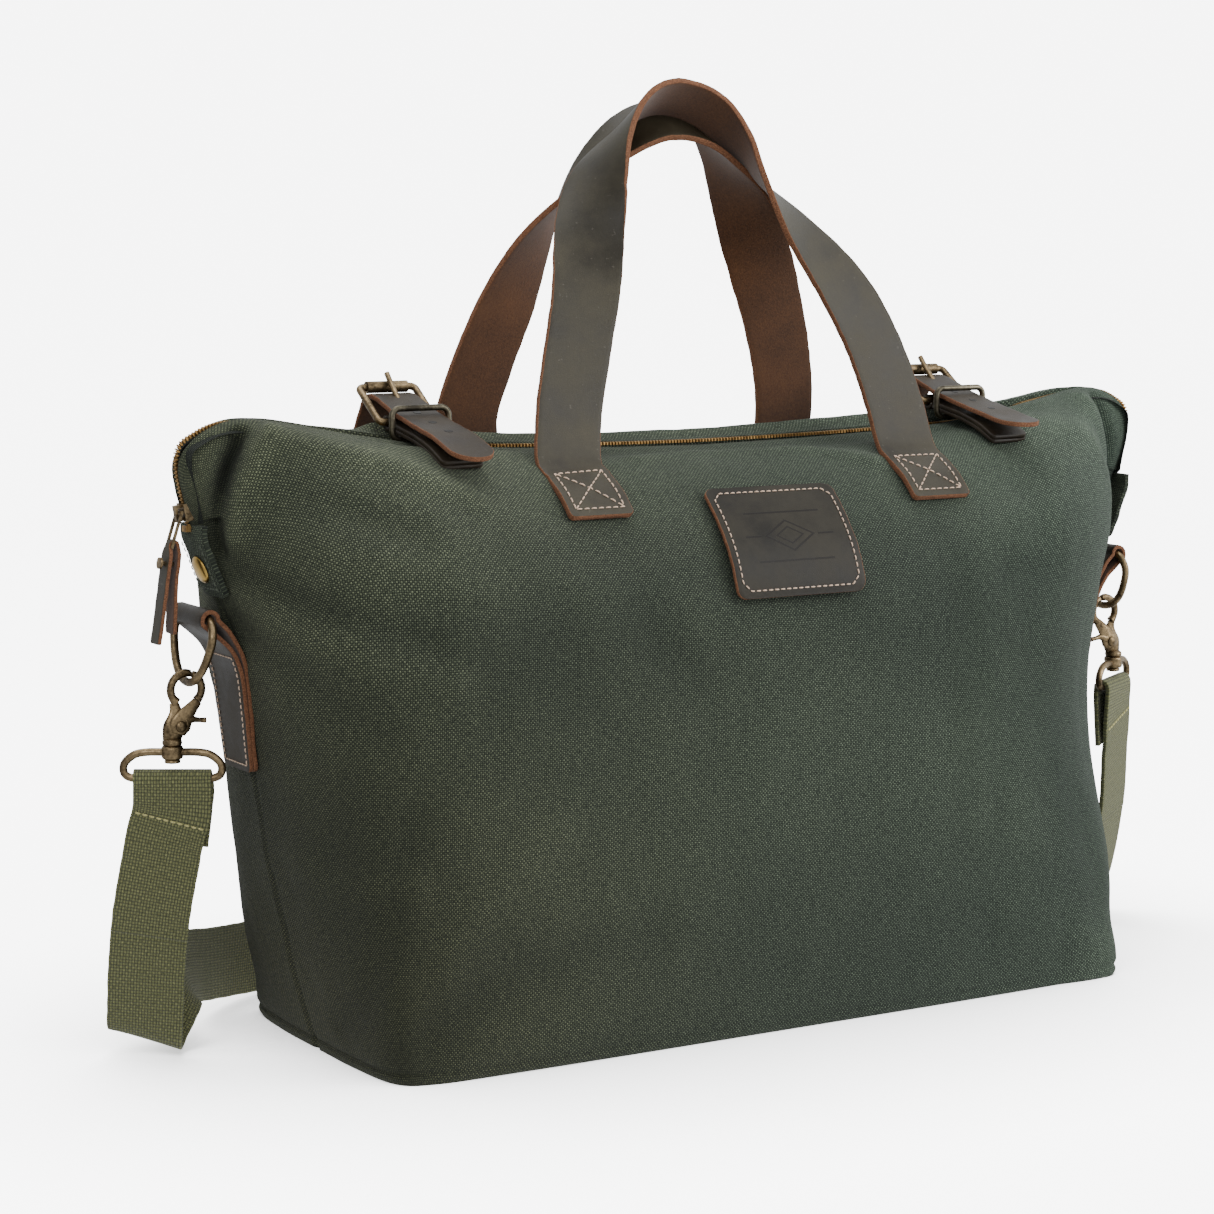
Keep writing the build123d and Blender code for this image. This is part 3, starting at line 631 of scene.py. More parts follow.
def tube(name, points, radii, closed=False, sides=14, flat=1.0):
    """Brass bar through points in metres; radii is one radius or a list of them, in millimetres.

    flat squashes the bar along Y.
    """
    points = [Vector(p) for p in points]
    if not isinstance(radii, list):
        radii = [radii] * len(points)
    if closed:
        points = points[-1:] + points + points[:2]
        radii = radii[-1:] + radii + radii[:2]
    spans, per_span = len(points) - 1, 8
    spots = [i / (per_span * spans) for i in range(per_span * spans + 1)]
    if closed:
        spots = [t for t in spots if 1 / spans - 1e-9 <= t <= 1 - 1 / spans + 1e-9][:-1]
    sizes = [Vector((r * MM, 0, 0)) for r in radii]
    line = [(catmull(points, t), catmull(sizes, t).x) for t in spots]
    verts = []
    normal = None
    for i, (point, radius) in enumerate(line):
        ahead = line[(i + 1) % len(line)][0] if closed or i + 1 < len(line) else point
        back = line[i - 1][0] if closed or i else point
        tangent = (ahead - back).normalized()
        if normal is None:
            normal = tangent.orthogonal()
        normal = (normal - tangent * normal.dot(tangent)).normalized()
        side = tangent.cross(normal)
        for k in range(sides):
            turn = 2 * math.pi * k / sides
            off = (normal * math.cos(turn) + side * math.sin(turn)) * radius
            off -= Vector((0, off.y * (1 - flat), 0))
            verts.append(point + off)
    rings = len(line)
    faces = ring_faces(0, rings, sides)
    faces += last_join(verts, rings, sides) if closed else end_faces(0, rings, sides)
    return plain_mesh(name, verts, faces, [MATERIALS["brass"]])


def last_join(verts, rings, sides):
    """Faces that join the last ring of a closed tube to the first, at the nearest turn."""
    last = (rings - 1) * sides
    shift = min(range(sides), key=lambda s: (verts[last] - verts[s]).length)
    return [(last + k, last + (k + 1) % sides, ((k + 1) % sides + shift) % sides, (k + shift) % sides)
            for k in range(sides)]


def lathe(name, profile, centre, axis, material="brass", sides=32):
    """Turned piece: profile of (radius, distance along the axis) in millimetres."""
    axis = Vector(axis).normalized()
    a = axis.orthogonal().normalized()
    b = axis.cross(a)
    verts = []
    for radius, height in profile:
        for k in range(sides):
            turn = 2 * math.pi * k / sides
            spoke = (a * math.cos(turn) + b * math.sin(turn)) * max(radius * MM, 1e-5)
            verts.append(Vector(centre) + axis * (height * MM) + spoke)
    faces = ring_faces(0, len(profile), sides) + end_faces(0, len(profile), sides)
    return plain_mesh(name, verts, faces, [MATERIALS[material]])


def join(name, pieces):
    """Join mesh pieces into the first one."""
    mesh = bmesh.new()
    materials = []
    for piece in pieces:
        shift = []
        for material in piece.data.materials:
            if material not in materials:
                materials.append(material)
            shift.append(materials.index(material))
        before = len(mesh.faces)
        mesh.from_mesh(piece.data)
        mesh.faces.ensure_lookup_table()
        for face in mesh.faces[before:]:
            face.material_index = shift[face.material_index]
    for piece in pieces[1:]:
        bpy.data.objects.remove(piece)
    first = pieces[0]
    mesh.to_mesh(first.data)
    mesh.free()
    first.data.materials.clear()
    for material in materials:
        first.data.materials.append(material)
    first.name = name
    return first


def put(obj, body, slot_name, *nodes):
    """Ride a body and stand for CAD nodes; slot_name is not used."""
    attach(obj, body)
    if nodes:
        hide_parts(*nodes)
    return obj


def sew(name, paths, body, slot_name, *sizes, thread="cream_thread"):
    """Stitches along paths, riding on a body; sizes are length, gap and radius in millimetres."""
    put(stitches(name, paths, MATERIALS[thread], *[size * MM for size in sizes]), body, slot_name)


# ---------------------------------------------------------------- shoulder strap
# the strap's route in part.py: centre and width direction, millimetres
STRAP_ROUTE = [
    ((-317.3, 12.4, 105.4), (0.86, -0.51, 0.0)),
    ((-321.0, 17.0, 80.0), (0.86, -0.51, 0.0)),
    ((-321.5, 23.0, 50.0), (0.86, -0.51, -0.03)),
    ((-320.5, 28.5, 24.0), (0.85, -0.50, -0.15)),
    ((-319.5, 32.5, 11.0), (0.822, -0.488, -0.292)),
    ((-316.0, 38.5, 8.2), (0.822, -0.488, -0.292)),
    ((-312.0, 42.5, 13.0), (0.80, -0.47, -0.36)),
    ((-300.0, 48.0, 28.0), (0.713, -0.423, -0.559)),
    ((-289.0, 58.0, 37.0), (0.50, -0.15, -0.85)),
    ((-276.0, 75.0, 34.0), (0.20, -0.05, -0.98)),
    ((-260.0, 95.0, 28.0), (0.05, 0.0, -1.0)),
    ((-230.0, 118.0, 22.5), (0.0, -0.1, -0.99)),
    ((-186.0, 137.0, 19.5), (0.0, -0.5, -0.87)),
    ((-138.0, 147.0, 8.6), (0.0, -0.95, -0.3)),
    ((-90.0, 150.0, 2.4), (0.0, -1.0, 0.0)),
    ((-40.0, 149.0, 2.4), (0.0, -1.0, 0.0)),
]
SWIVEL = Vector((-311.0, 8.0, 151.6)) * MM       # middle of the loop's lower bar


def spline_points(points):
    """Points along the NURBS spline of a route."""
    curve = bpy.data.curves.new("route", "CURVE")
    curve.dimensions = "3D"
    curve.resolution_u = 8
    spline = curve.splines.new("NURBS")
    spline.points.add(len(points) - 1)
    for point, place in zip(spline.points, points):
        point.co = (*place, 1)
    spline.order_u = 3
    spline.use_endpoint_u = True
    holder = bpy.data.objects.new("route", curve)
    bpy.context.scene.collection.objects.link(holder)
    mesh = bpy.data.meshes.new_from_object(holder)
    found = [vertex.co.copy() for vertex in mesh.vertices]
    bpy.data.objects.remove(holder)
    bpy.data.meshes.remove(mesh)
    return found


def spline_stations(route, side):
    """Stations of the webbing along its spline; side is -1 for the left half and 1 for the right."""
    middle, rim = [], []
    for centre, across in route:
        c, w = Vector(centre) * MM, Vector(across).normalized()
        middle.append(c)
        rim.append(c + w * 10 * MM)
    middle, rim = spline_points(middle), spline_points(rim)
    places = run_lengths(middle)
    stations = []
    for i, (c, r) in enumerate(zip(middle, rim)):
        p, q = middle[max(i - 1, 0)], middle[min(i + 1, len(middle) - 1)]
        tangent = (q - p).normalized()
        across = r - c
        across = (across - tangent * across.dot(tangent)).normalized()
        stations.append((*to_side((c, across, tangent.cross(across)), side), places[i]))
    return stations


def webbing_skin(name, stations, thickness=STRAP_T):
    """Webbing strip, with a slightly uneven selvedge."""
    return strip(name, stations, STRAP_W, thickness, [MATERIALS["webbing"]] * 3, columns=12, fray=0.35 * MM)


def make_strap(side, word):
    """One half of the shoulder strap with its sewn end round the loop's bar."""
    stations = spline_stations(STRAP_ROUTE, side)
    webbing = webbing_skin(f"strap_webbing_{word}", stations)
    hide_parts(f"strap_{word}")
    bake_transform(webbing)

    # the sewn end: up the far side of the strap, round the loop's bar, and down the near side into the strap
    across = Vector((math.cos(FACING), -math.sin(FACING), 0))
    face = Vector((math.sin(FACING), math.cos(FACING), 0))
    low = Vector(STRAP_ROUTE[0][0]) * MM
    reach = 3.6 * MM
    line = [low + face * 2.6 * MM + across * 5.0 * MM + Vector((0, 0, 0.012)),
            SWIVEL + face * reach + across * 0.5 * MM - Vector((0, 0, 0.008))]
    line += [SWIVEL + face * (reach * math.cos(turn)) + Vector((0, 0, reach * math.sin(turn)))
             for turn in (0, math.pi / 3, 2 * math.pi / 3, math.pi)]
    left = spline_stations(STRAP_ROUTE, -1)
    first = [left[k][0] for k in (0, 4, 8)]
    lean = (first[0] - first[1]).normalized()
    line += [SWIVEL - face * reach - Vector((0, 0, 0.006)),
             SWIVEL - face * 2.2 * MM - Vector((0.0010, 0, 0.018)),
             first[0] + lean * 0.014 - face * 0.4 * MM, first[0] + lean * 0.003, first[1], first[2]]
    sewn = line_stations(to_side(line, side), to_side([-across], side)[0], 2.5 * MM)
    fold = webbing_skin(f"strap_fold_{word}", sewn, STRAP_T + 0.5 * MM)
    put(fold, f"{word}_d_ring", "webbing", f"{word}_strap_end")
    sewn_at = next(s for c, _, _, s in sewn[len(sewn) // 2:] if c.z < 0.130)
    front = to_side([face], side)[0]
    row = []
    for i in range(25):
        point, normal = on_strip(sewn, sewn_at, (i / 12 - 1) * 18.5 * MM, 0.0)
        normal = normal if normal.dot(front) < 0 else -normal
        row.append((point + normal * (STRAP_T / 2 + 0.3 * MM), normal))
    sew(f"strap_stitches_{word}", [row], f"{word}_d_ring", "webbing", 3.0, 0.8, 0.62, thread="olive_thread")


# ---------------------------------------------------------------- canvas body
# Quarter of the bag: rows run from the base up to the zip, columns from the middle of the front round the
# corner to the seam in the middle of the end.  Millimetres (x, depth, z).
QUARTER = [
    [(0, 96, 0), (90, 96, 0), (172, 95, 0), (212, 93, 0), (230, 82, 0), (235, 42, 0), (235, 0, 0)],
    [(0, 98.5, 8), (90, 98.5, 8), (172, 97.5, 8), (214, 94.5, 9), (233, 82.5, 9), (237.5, 43, 8),
     (237.5, 0, 8)],
    [(0, 104, 60), (90, 104, 60), (171, 103, 60), (213, 99, 60), (240, 84, 60), (250, 45, 60), (251, 0, 60)],
    [(0, 107, 120), (90, 107, 120), (170, 106, 120), (212, 101, 120), (244, 84, 120), (260, 47, 120),
     (265, 0, 120)],
    [(0, 107, 190), (90, 107, 190), (168, 106, 190), (211, 100, 190), (247, 81, 188), (268, 42, 186),
     (274, 0, 186)],
    [(0, 105, 235), (90, 105, 235), (166, 103, 236), (209, 98, 239), (248, 77, 238), (273, 35, 230),
     (280, 0, 226)],
    [(0, 92, 268), (90, 92, 269), (166, 92, 272), (210, 87, 277), (250, 66, 275), (279, 25, 256),
     (287, 0, 243)],
    [(0, 71, 292), (90, 71, 293), (166, 71, 297), (212, 67, 304), (254, 45, 303), (286, 15, 275),
     (293, 0, 256)],
    [(0, 47, 306), (90, 47, 308), (166, 47, 312), (214, 44, 320), (260, 26, 323), (296, 10, 294),
     (298, 0, 267)],
    [(0, 18, 313), (90, 18, 315), (166, 18, 320), (222, 17, 328), (272, 11, 333), (305, 7, 306),
     (301, 0, 276)],
    [(0, 3.7, 314.6), (90, 3.7, 316.6), (166, 3.7, 320.6), (228, 3.7, 330), (281, 3.7, 335.4),
     (309, 3.7, 317),
     (303.6, 3.2, 284)],
]
# the turned-in edge beside the zip
RIM = [(0, 4.6, 310), (90, 4.6, 312), (166, 4.6, 316), (228, 4.6, 325), (280, 4.6, 331), (304, 4.6, 315),
       (299.5, 4.0, 286)]
GRID_U, GRID_V = 210, 150
# folds: points on the surface (mm), half width and rise (mm); a falling fold is a crease
FOLDS = [
    # left wing: the deep crease close behind the zip, the shoulder that swells over it and its ridge
    ([(-281, -12, 330), (-287, -14, 316), (-292, -14, 300), (-295, -13, 285), (-294, -11, 268)], 4.2, -17.0),
    ([(-293, -5, 330), (-303, -7, 312), (-300, -7, 290)], 4.0, 1.8),
    ([(-268, -22, 331), (-280, -25, 312), (-287, -23, 294), (-288, -20, 276)], 6.5, 9.0),
    ([(-266, -20, 332), (-238, -40, 321), (-208, -60, 309), (-175, -78, 296)], 8.0, 2.8),
    ([(-270, -46, 300), (-248, -64, 292), (-215, -84, 278)], 12.0, -3.0),
    ([(-286, -18, 258), (-272, -40, 250), (-250, -68, 240), (-215, -94, 226)], 7.0, -2.8),
    ([(-287, -14, 246), (-272, -46, 232), (-246, -78, 218), (-205, -100, 205)], 10.0, 2.0),
    ([(-282, -10, 228), (-264, -55, 205), (-236, -88, 180)], 10.0, -1.6),
    ([(-256, -66, 262), (-222, -90, 262), (-170, -100, 252), (-110, -104, 246)], 18.0, 1.2),
    # left lower corner
    ([(-240, -40, 22), (-243, -76, 46), (-236, -92, 92), (-226, -98, 140)], 9.0, -1.6),
    ([(-228, -86, 6), (-205, -100, 34), (-160, -104, 58), (-90, -106, 66)], 15.0, -1.5),
    ([(-236, -72, 8), (-226, -92, 38), (-196, -102, 84), (-150, -106, 128)], 14.0, 1.5),
    ([(-262, -30, 110), (-252, -70, 100), (-228, -97, 104)], 10.0, 1.4),
    # right wing and corner
    ([(279, -11, 330), (286, -14, 316), (292, -14, 300), (295, -13, 285)], 5.0, -9.0),
    ([(262, -24, 330), (275, -29, 312), (283, -29, 294)], 10.0, 4.0),
    ([(222, -54, 320), (246, -50, 306), (258, -52, 280), (258, -56, 250)], 14.0, 2.4),
    ([(250, -24, 328), (214, -58, 312), (170, -82, 290)], 10.0, -1.6),
    ([(262, -40, 246), (238, -80, 238), (204, -102, 236), (150, -105, 244)], 11.0, -1.6),
    ([(250, -60, 210), (226, -92, 200), (184, -104, 204)], 12.0, 1.4),
    ([(240, -70, 30), (222, -94, 60), (206, -102, 110)], 13.0, -1.2),
    ([(226, -88, 10), (196, -100, 34), (150, -104, 46)], 13.0, 1.0),
    # under the handles and the patch
    ([(-103, -96, 262), (-96, -105, 232), (-70, -107, 200)], 14.0, -0.9),
    ([(103, -96, 262), (110, -105, 230), (124, -107, 196)], 14.0, -0.9),
    ([(-60, -106, 226), (0, -107, 218), (60, -106, 226)], 18.0, 0.8),
    # along the zip: the front edge sags below the back one
    ([(-210, -20, 321), (-60, -20, 314), (60, -20, 314), (215, -20, 322)], 13.0, -3.2),
    ([(-190, 13, 322), (-60, 15, 317), (70, 16, 318), (190, 13, 322)], 9.0, 6.5),
    ([(-62, -40, 309), (-20, -30, 312), (40, -34, 311), (84, -56, 302)], 7.0, 2.4),
    ([(-190, -34, 315), (-130, -30, 313), (-90, -26, 313)], 8.0, 1.8),
    # back
    ([(-279, 11, 330), (-286, 14, 316), (-292, 14, 300), (-295, 13, 285)], 5.0, -9.0),
    ([(279, 11, 330), (286, 14, 316), (292, 14, 300), (295, 13, 285)], 5.0, -9.0),
    ([(-222, 54, 320), (-246, 50, 306), (-262, 52, 280), (-264, 50, 250)], 14.0, 4.0),
    ([(222, 54, 320), (246, 50, 306), (262, 52, 280), (262, 50, 250)], 14.0, 3.0),
    ([(262, 40, 246), (238, 84, 238), (190, 104, 228), (120, 106, 222)], 11.0, -2.0),
    ([(-262, 40, 246), (-238, 84, 232), (-180, 104, 216)], 11.0, -2.0),
    ([(-236, 72, 20), (-200, 102, 60), (-120, 106, 84)], 15.0, -1.5),
    ([(236, 72, 20), (206, 102, 54), (130, 106, 90)], 15.0, -1.5),
]


def canvas_shape(side_x, side_y):
    """Grid of points for one quarter of the body, with its flat (cut) coordinates."""
    rows = [mm(*row) for row in QUARTER]
    rim = mm(*RIM)
    columns = [[catmull(row, i / GRID_U) for row in rows] for i in range(GRID_U + 1)]
    lengths_u = run_lengths([catmull(column, 0.4) for column in columns])
    lengths_v = run_lengths([catmull(columns[0], j / GRID_V) for j in range(GRID_V + 1)])
    lengths_v.append(lengths_v[-1] + 0.0045)
    points, flats = [], []
    for j in range(GRID_V + 2):
        for i in range(GRID_U + 1):
            p = catmull(columns[i], j / GRID_V) if j <= GRID_V else catmull(rim, i / GRID_U)
            points.append((side_x * p.x, side_y * p.y, p.z))
            flats.append((side_x * lengths_u[i], lengths_v[j], 0.0))
    return points, flats


def near_line(points, line):
    """Distance of each point from a broken line."""
    best = numpy.full(len(points), 9.0)
    for a, b in zip(line, line[1:]):
        run = b - a
        t = numpy.clip(((points - a) @ run) / (run @ run), 0.0, 1.0)
        best = numpy.minimum(best, numpy.linalg.norm(points - a - t[:, None] * run, axis=1))
    return best


def right_hollow(x, y, z):
    """How far the right end's front corner is sucked in at mid height."""
    waist = numpy.exp(-((z - 0.172) / 0.095) ** 2) * rise(z, 0, 0.03)
    return 0.036 * waist * rise(x, 0.10, 0.14) * rise(-y, -0.02, 0.11)


def sculpt(points, normals):
    """Folds, sag and slack of the filled canvas; the zip edge, base and end seams hold it."""
    x, y, z = points[:, 0], points[:, 1], points[:, 2]
    hold = rise(z, 0, 0.02) * numpy.where(z < 0.285, 1.0, rise(numpy.abs(y), 0.004, 0.012))
    move = numpy.zeros(len(points))
    for line, width, height in FOLDS:
        line = [catmull(mm(*line), i / 12) for i in range(13)]
        gap = near_line(points, numpy.array([tuple(p) for p in line]))
        move += height * MM * numpy.exp(-(gap / (width * MM)) ** 2)
    slack = [noise.noise(Vector(p) * 9.0 + Vector((4, 1, 7))) * 2.4 + noise.noise(Vector(p) * 26.0) * 0.9
             + noise.noise(Vector(p) * 70.0) * 0.35 for p in points]
    move += numpy.array(slack) * MM
    belly = numpy.exp(-((z - 0.1) / 0.07) ** 2) * numpy.clip(1 - (numpy.abs(x) / 0.25) ** 2, 0, 1)
    move += 2.2 * MM * belly
    points += normals * (move * hold)[:, None]
    points[:, 0] -= right_hollow(x, y, z)
    corner = rise(x, 0.19, 0.03) * rise(-y, 0.06, 0.02) * numpy.exp(-z / 0.05)
    points[:, 0] += 0.006 * corner
    points[:, 1] -= 0.004 * corner
    shoulder = numpy.exp(-((z - 0.235) / 0.05) ** 2) * rise(-x, 0.2, 0.05) * rise(y, -0.01, 0.05)
    points[:, 0] -= 0.007 * shoulder
    points[:, 1] += 0.006 * shoulder
    near_zip = rise(-y, 0, 0.002) * rise(y, -0.016, 0.01) * rise(z, 0.29, 0.01)
    points[:, 2] -= 0.0026 * near_zip * rise(-numpy.abs(x), -0.27, 0.05)
    end_seam = numpy.clip(1 - numpy.abs(y) / 0.004, 0, 1) * (z < 0.275) * (numpy.abs(x) > 0.23)
    points[:, 0] -= numpy.sign(x) * 0.0016 * end_seam
    hem = numpy.exp(-((z - 0.006) / 0.0014) ** 2)
    points[:, :2] *= 1 - 0.006 * hem[:, None]


def make_canvas():
    """Front and back panels and the base as one sewn shell."""
    verts, flats, faces = [], [], []
    for side_y in (-1, 1):
        for side_x in (-1, 1):
            faces += grid_faces(len(verts), GRID_U, GRID_V + 1, side_x * side_y < 0)
            points, flat = canvas_shape(side_x, side_y)
            verts += points
            flats += flat
    rows, width = 24, GRID_U + 1
    base = [catmull(mm(*QUARTER[0]), i / GRID_U) for i in range(width)]
    for side_x in (-1, 1):
        start = len(verts)
        for k in range(rows + 1):
            part = 2 * k / rows - 1
            verts += [(side_x * edge.x, edge.y * part, edge.z) for edge in base]
            flats += [(side_x * edge.x, edge.y * part, 0.0) for edge in base]
        for a in (start + k * width + i for k in range(rows) for i in range(GRID_U)):
            quad = (a, a + width, a + 1 + width, a + 1)
            faces.append(quad if side_x > 0 else quad[::-1])
    obj = plain_mesh("bag_canvas", verts, faces, [MATERIALS["canvas"]])
    set_layer(obj, "weave", flats)
    mesh = bmesh.new()
    mesh.from_mesh(obj.data)
    bmesh.ops.remove_doubles(mesh, verts=mesh.verts, dist=0.00004)
    bmesh.ops.recalc_face_normals(mesh, faces=mesh.faces)
    mesh.to_mesh(obj.data)
    mesh.free()
    count = len(obj.data.vertices)
    points, normals = numpy.empty(3 * count), numpy.empty(3 * count)
    obj.data.vertices.foreach_get("co", points)
    obj.data.vertices.foreach_get("normal", normals)
    points, normals = points.reshape(-1, 3), normals.reshape(-1, 3)
    if (normals * points)[:, 1].sum() < 0:
        normals = -normals
        obj.data.flip_normals()
    before = points.copy()
    sculpt(points, normals)
    obj.data.vertices.foreach_set("co", points.ravel())
    obj.data.update()
    lift = ((points - before) * normals).sum(axis=1)
    x, z = points[:, 0], points[:, 2]
    # first value: rubbed wear on raised places, and painted light: paler along the top, on the right end and
    # on the upper left end
    sides = rise(x, 0.06, 0.16) * 0.20 + rise(-x, 0.12, 0.1) * rise(z, 0.12, 0.1) * 0.12
    wear_and_light = 0.08 + 0.30 * rise(z, 0.235, 0.075) + sides + numpy.clip(lift / 0.012, -0.1, 0.35)
    olive = rise(-x, 0.02, 0.2) * rise(-z, -0.24, 0.2)
    # third value: where the deep creases at the upper ends are painted in shade
    crease = rise(-lift, 0.003, 0.009) * rise(numpy.abs(x), 0.264, 0.01) * rise(z, 0.25, 0.02)
    set_layer(obj, "wear_and_light", numpy.stack([numpy.clip(wear_and_light, 0, 1), 0.8 * olive, crease], axis=1))
    put(obj, "bag", "canvas", "front_panel", "back_panel", "base_panel")


def make_lining():
    """Cotton lining inside the canvas and the stiffener in the bottom."""
    verts, faces = [], []
    across, up = 40, 26
    rows = [mm(*row) for row in QUARTER]
    for side_y in (-1, 1):
        for side_x in (-1, 1):
            faces += grid_faces(len(verts), across, up, side_x * side_y < 0)
            for j in range(up + 1):
                for i in range(across + 1):
                    p = catmull([catmull(row, i / across) for row in rows], 0.93 * j / up)
                    inset = 1 - 0.13 * step(p.z, 0.16, 0.26)
                    x, y, z = side_x * p.x * 0.95 * inset, side_y * p.y * 0.84 * inset, 0.008 + p.z * 0.9
                    verts.append((x - 1.1 * right_hollow(x, y, z), y, z))
    put(plain_mesh("cotton_lining", verts, faces, [MATERIALS["lining"]]), "bag", "lining", "lining")
    low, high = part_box("base_board")
    radius = 30 * MM
    outline = []
    for cx, cy, start in ((1, 1, 0), (-1, 1, 90), (-1, -1, 180), (1, -1, 270)):
        for k in range(7):
            turn = math.radians(start + 15 * k)
            outline.append((cx * (high[0] - radius) + radius * math.cos(turn),
                            cy * (high[1] - 4 * MM - radius) + radius * math.sin(turn)))
    verts = [(x, y, z) for z in (low[2], high[2]) for x, y in outline]
    faces = end_faces(0, 2, len(outline)) + ring_faces(0, 2, len(outline))
    board = plain_mesh("stiff_board", verts, faces, [MATERIALS["board"]], smooth=False)
    put(board, "bag", "board", "base_board")


# ---------------------------------------------------------------- handles
# right half of a handle: (x, part of the rise, twist in degrees)
ARCH = [(103, .015, 0), (102.5, .13, 0), (99, .30, 2), (93, .46, 8), (81, .63, 30), (64, .775, 60),
        (45, .885, 86), (24, .97, 102), (0, 1.0, 107)]
HANDLES = {
    "front": {"side": -1, "y": -46.0, "z": 311.0, "lean": 18.5, "rise": 200.0, "spread": 6.0, "skew": 6.0,
              "left": (-14.0, 0.46, 0.38), "right": (-17.0, 0.70, 0.22),
              "foot": [(-84.4, 284.2), (-79, 289.5), (-71.7, 296.0), (-60, 303.0), (-49.5, 310.3)]},
    "back": {"side": 1, "y": 66.0, "z": 301.0, "lean": 13.0, "rise": 194.0, "spread": 0.0, "skew": 2.0,
             "left": (9.0, 0.14, 0.22), "right": (-15.0, 0.62, 0.34),
             "foot": [(99.6, 259.0), (97, 265.5), (94.4, 271.4), (84, 284.0), (72.5, 295.5)]},
}


def handle_route(spec):
    """Centres and width directions of a handle from the low end of its right foot to its left one."""
    lean = math.radians(spec["lean"])
    side = spec["side"]
    up = Vector((0, -side * math.sin(lean), math.cos(lean)))
    normal = Vector((0, math.cos(lean), side * math.sin(lean)))
    flat = []
    for word, half, sign in (("right", ARCH, 1), ("left", ARCH[-2::-1], -1)):
        sway, centre, width = spec[word]
        for x, part, twist in half:
            x += sway * bell(part, centre, width) + spec["spread"] * (1 - step(part, 0.1, 0.5))
            flat.append((sign * x - spec["skew"] * step(part, 0.5, 1.0), part * spec["rise"], twist))
    foot = Vector((0, spec["y"], spec["z"]))
    centres = [Vector((103 + spec["spread"], y, z)) * MM for y, z in spec["foot"]]
    wides = [Vector((1, 0, 0))] * len(centres)
    for (px, pz, _), (x, height, twist), (qx, qz, _) in zip(flat, flat[1:], flat[2:]):
        size = math.hypot(qx - px, qz - pz)
        outward = Vector(((qz - pz) / size, 0, 0)) - up * ((qx - px) / size)
        turn = math.radians(twist)
        centres.append((foot + Vector((x, 0, 0)) + up * height) * MM)
        wides.append(outward * math.cos(turn) - normal * (side * math.sin(turn)))
    for y, z in spec["foot"][::-1]:
        centres.append(Vector((-103 - spec["spread"], y, z)) * MM)
        wides.append(Vector((-1, 0, 0)))
    return centres, wides


def make_handle(word):
    """Carry handle: one leather strap, sewn down at both feet."""
    spec = HANDLES[word]
    side = spec["side"]
    centres, wides = handle_route(spec)
    if side < 0:
        wides = [-w for w in wides]
    stations = line_stations(centres, wides, 4 * MM, [(True, 3 * MM), (False, 3 * MM)])
    handle = strip(f"{word}_carry_handle", stations, HANDLE_W, HANDLE_T, skin("leather"),
                   (2.5 * MM, 2.5 * MM), 14, fray=0.5 * MM)
    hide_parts(f"{word}_handle", f"{word}_handle_feet")
    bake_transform(handle)
    low, high, half = 4.5 * MM, 33 * MM, 14.5 * MM
    total = stations[-1][3]
    crossed_box = (box_corners(low, high, half, half), [(low, -half), (high, half)],
                   [(low, half), (high, -half)])
    paths = []
    for near in (True, False):
        for run in crossed_box:
            run = [(s if near else total - s, a) for s, a in run]
            paths.append(seam(stations, run, HANDLE_T / 2 + 0.15 * MM, 1.2 * MM))
    sew(f"{word}_handle_stitches", paths, "bag", "handle_leather", 3.1, 1.2, 0.42)


# ---------------------------------------------------------------- strap closures
CHAPE = [(-58, 306.4), (-50, 310.6), (-44, 313.2), (-35, 316.0), (-26, 318.2), (-8, 321.6), (-1.5, 323.4)]
BILLET = [(95, 271), (88, 281), (74, 294.5), (60, 304.5), (48, 313), (39, 325), (31, 335.8), (22, 337.4),
          (10, 334.4), (-4, 329.8), (-26, 324.6), (-44, 321.0), (-60, 316.2), (-76, 310.5)]


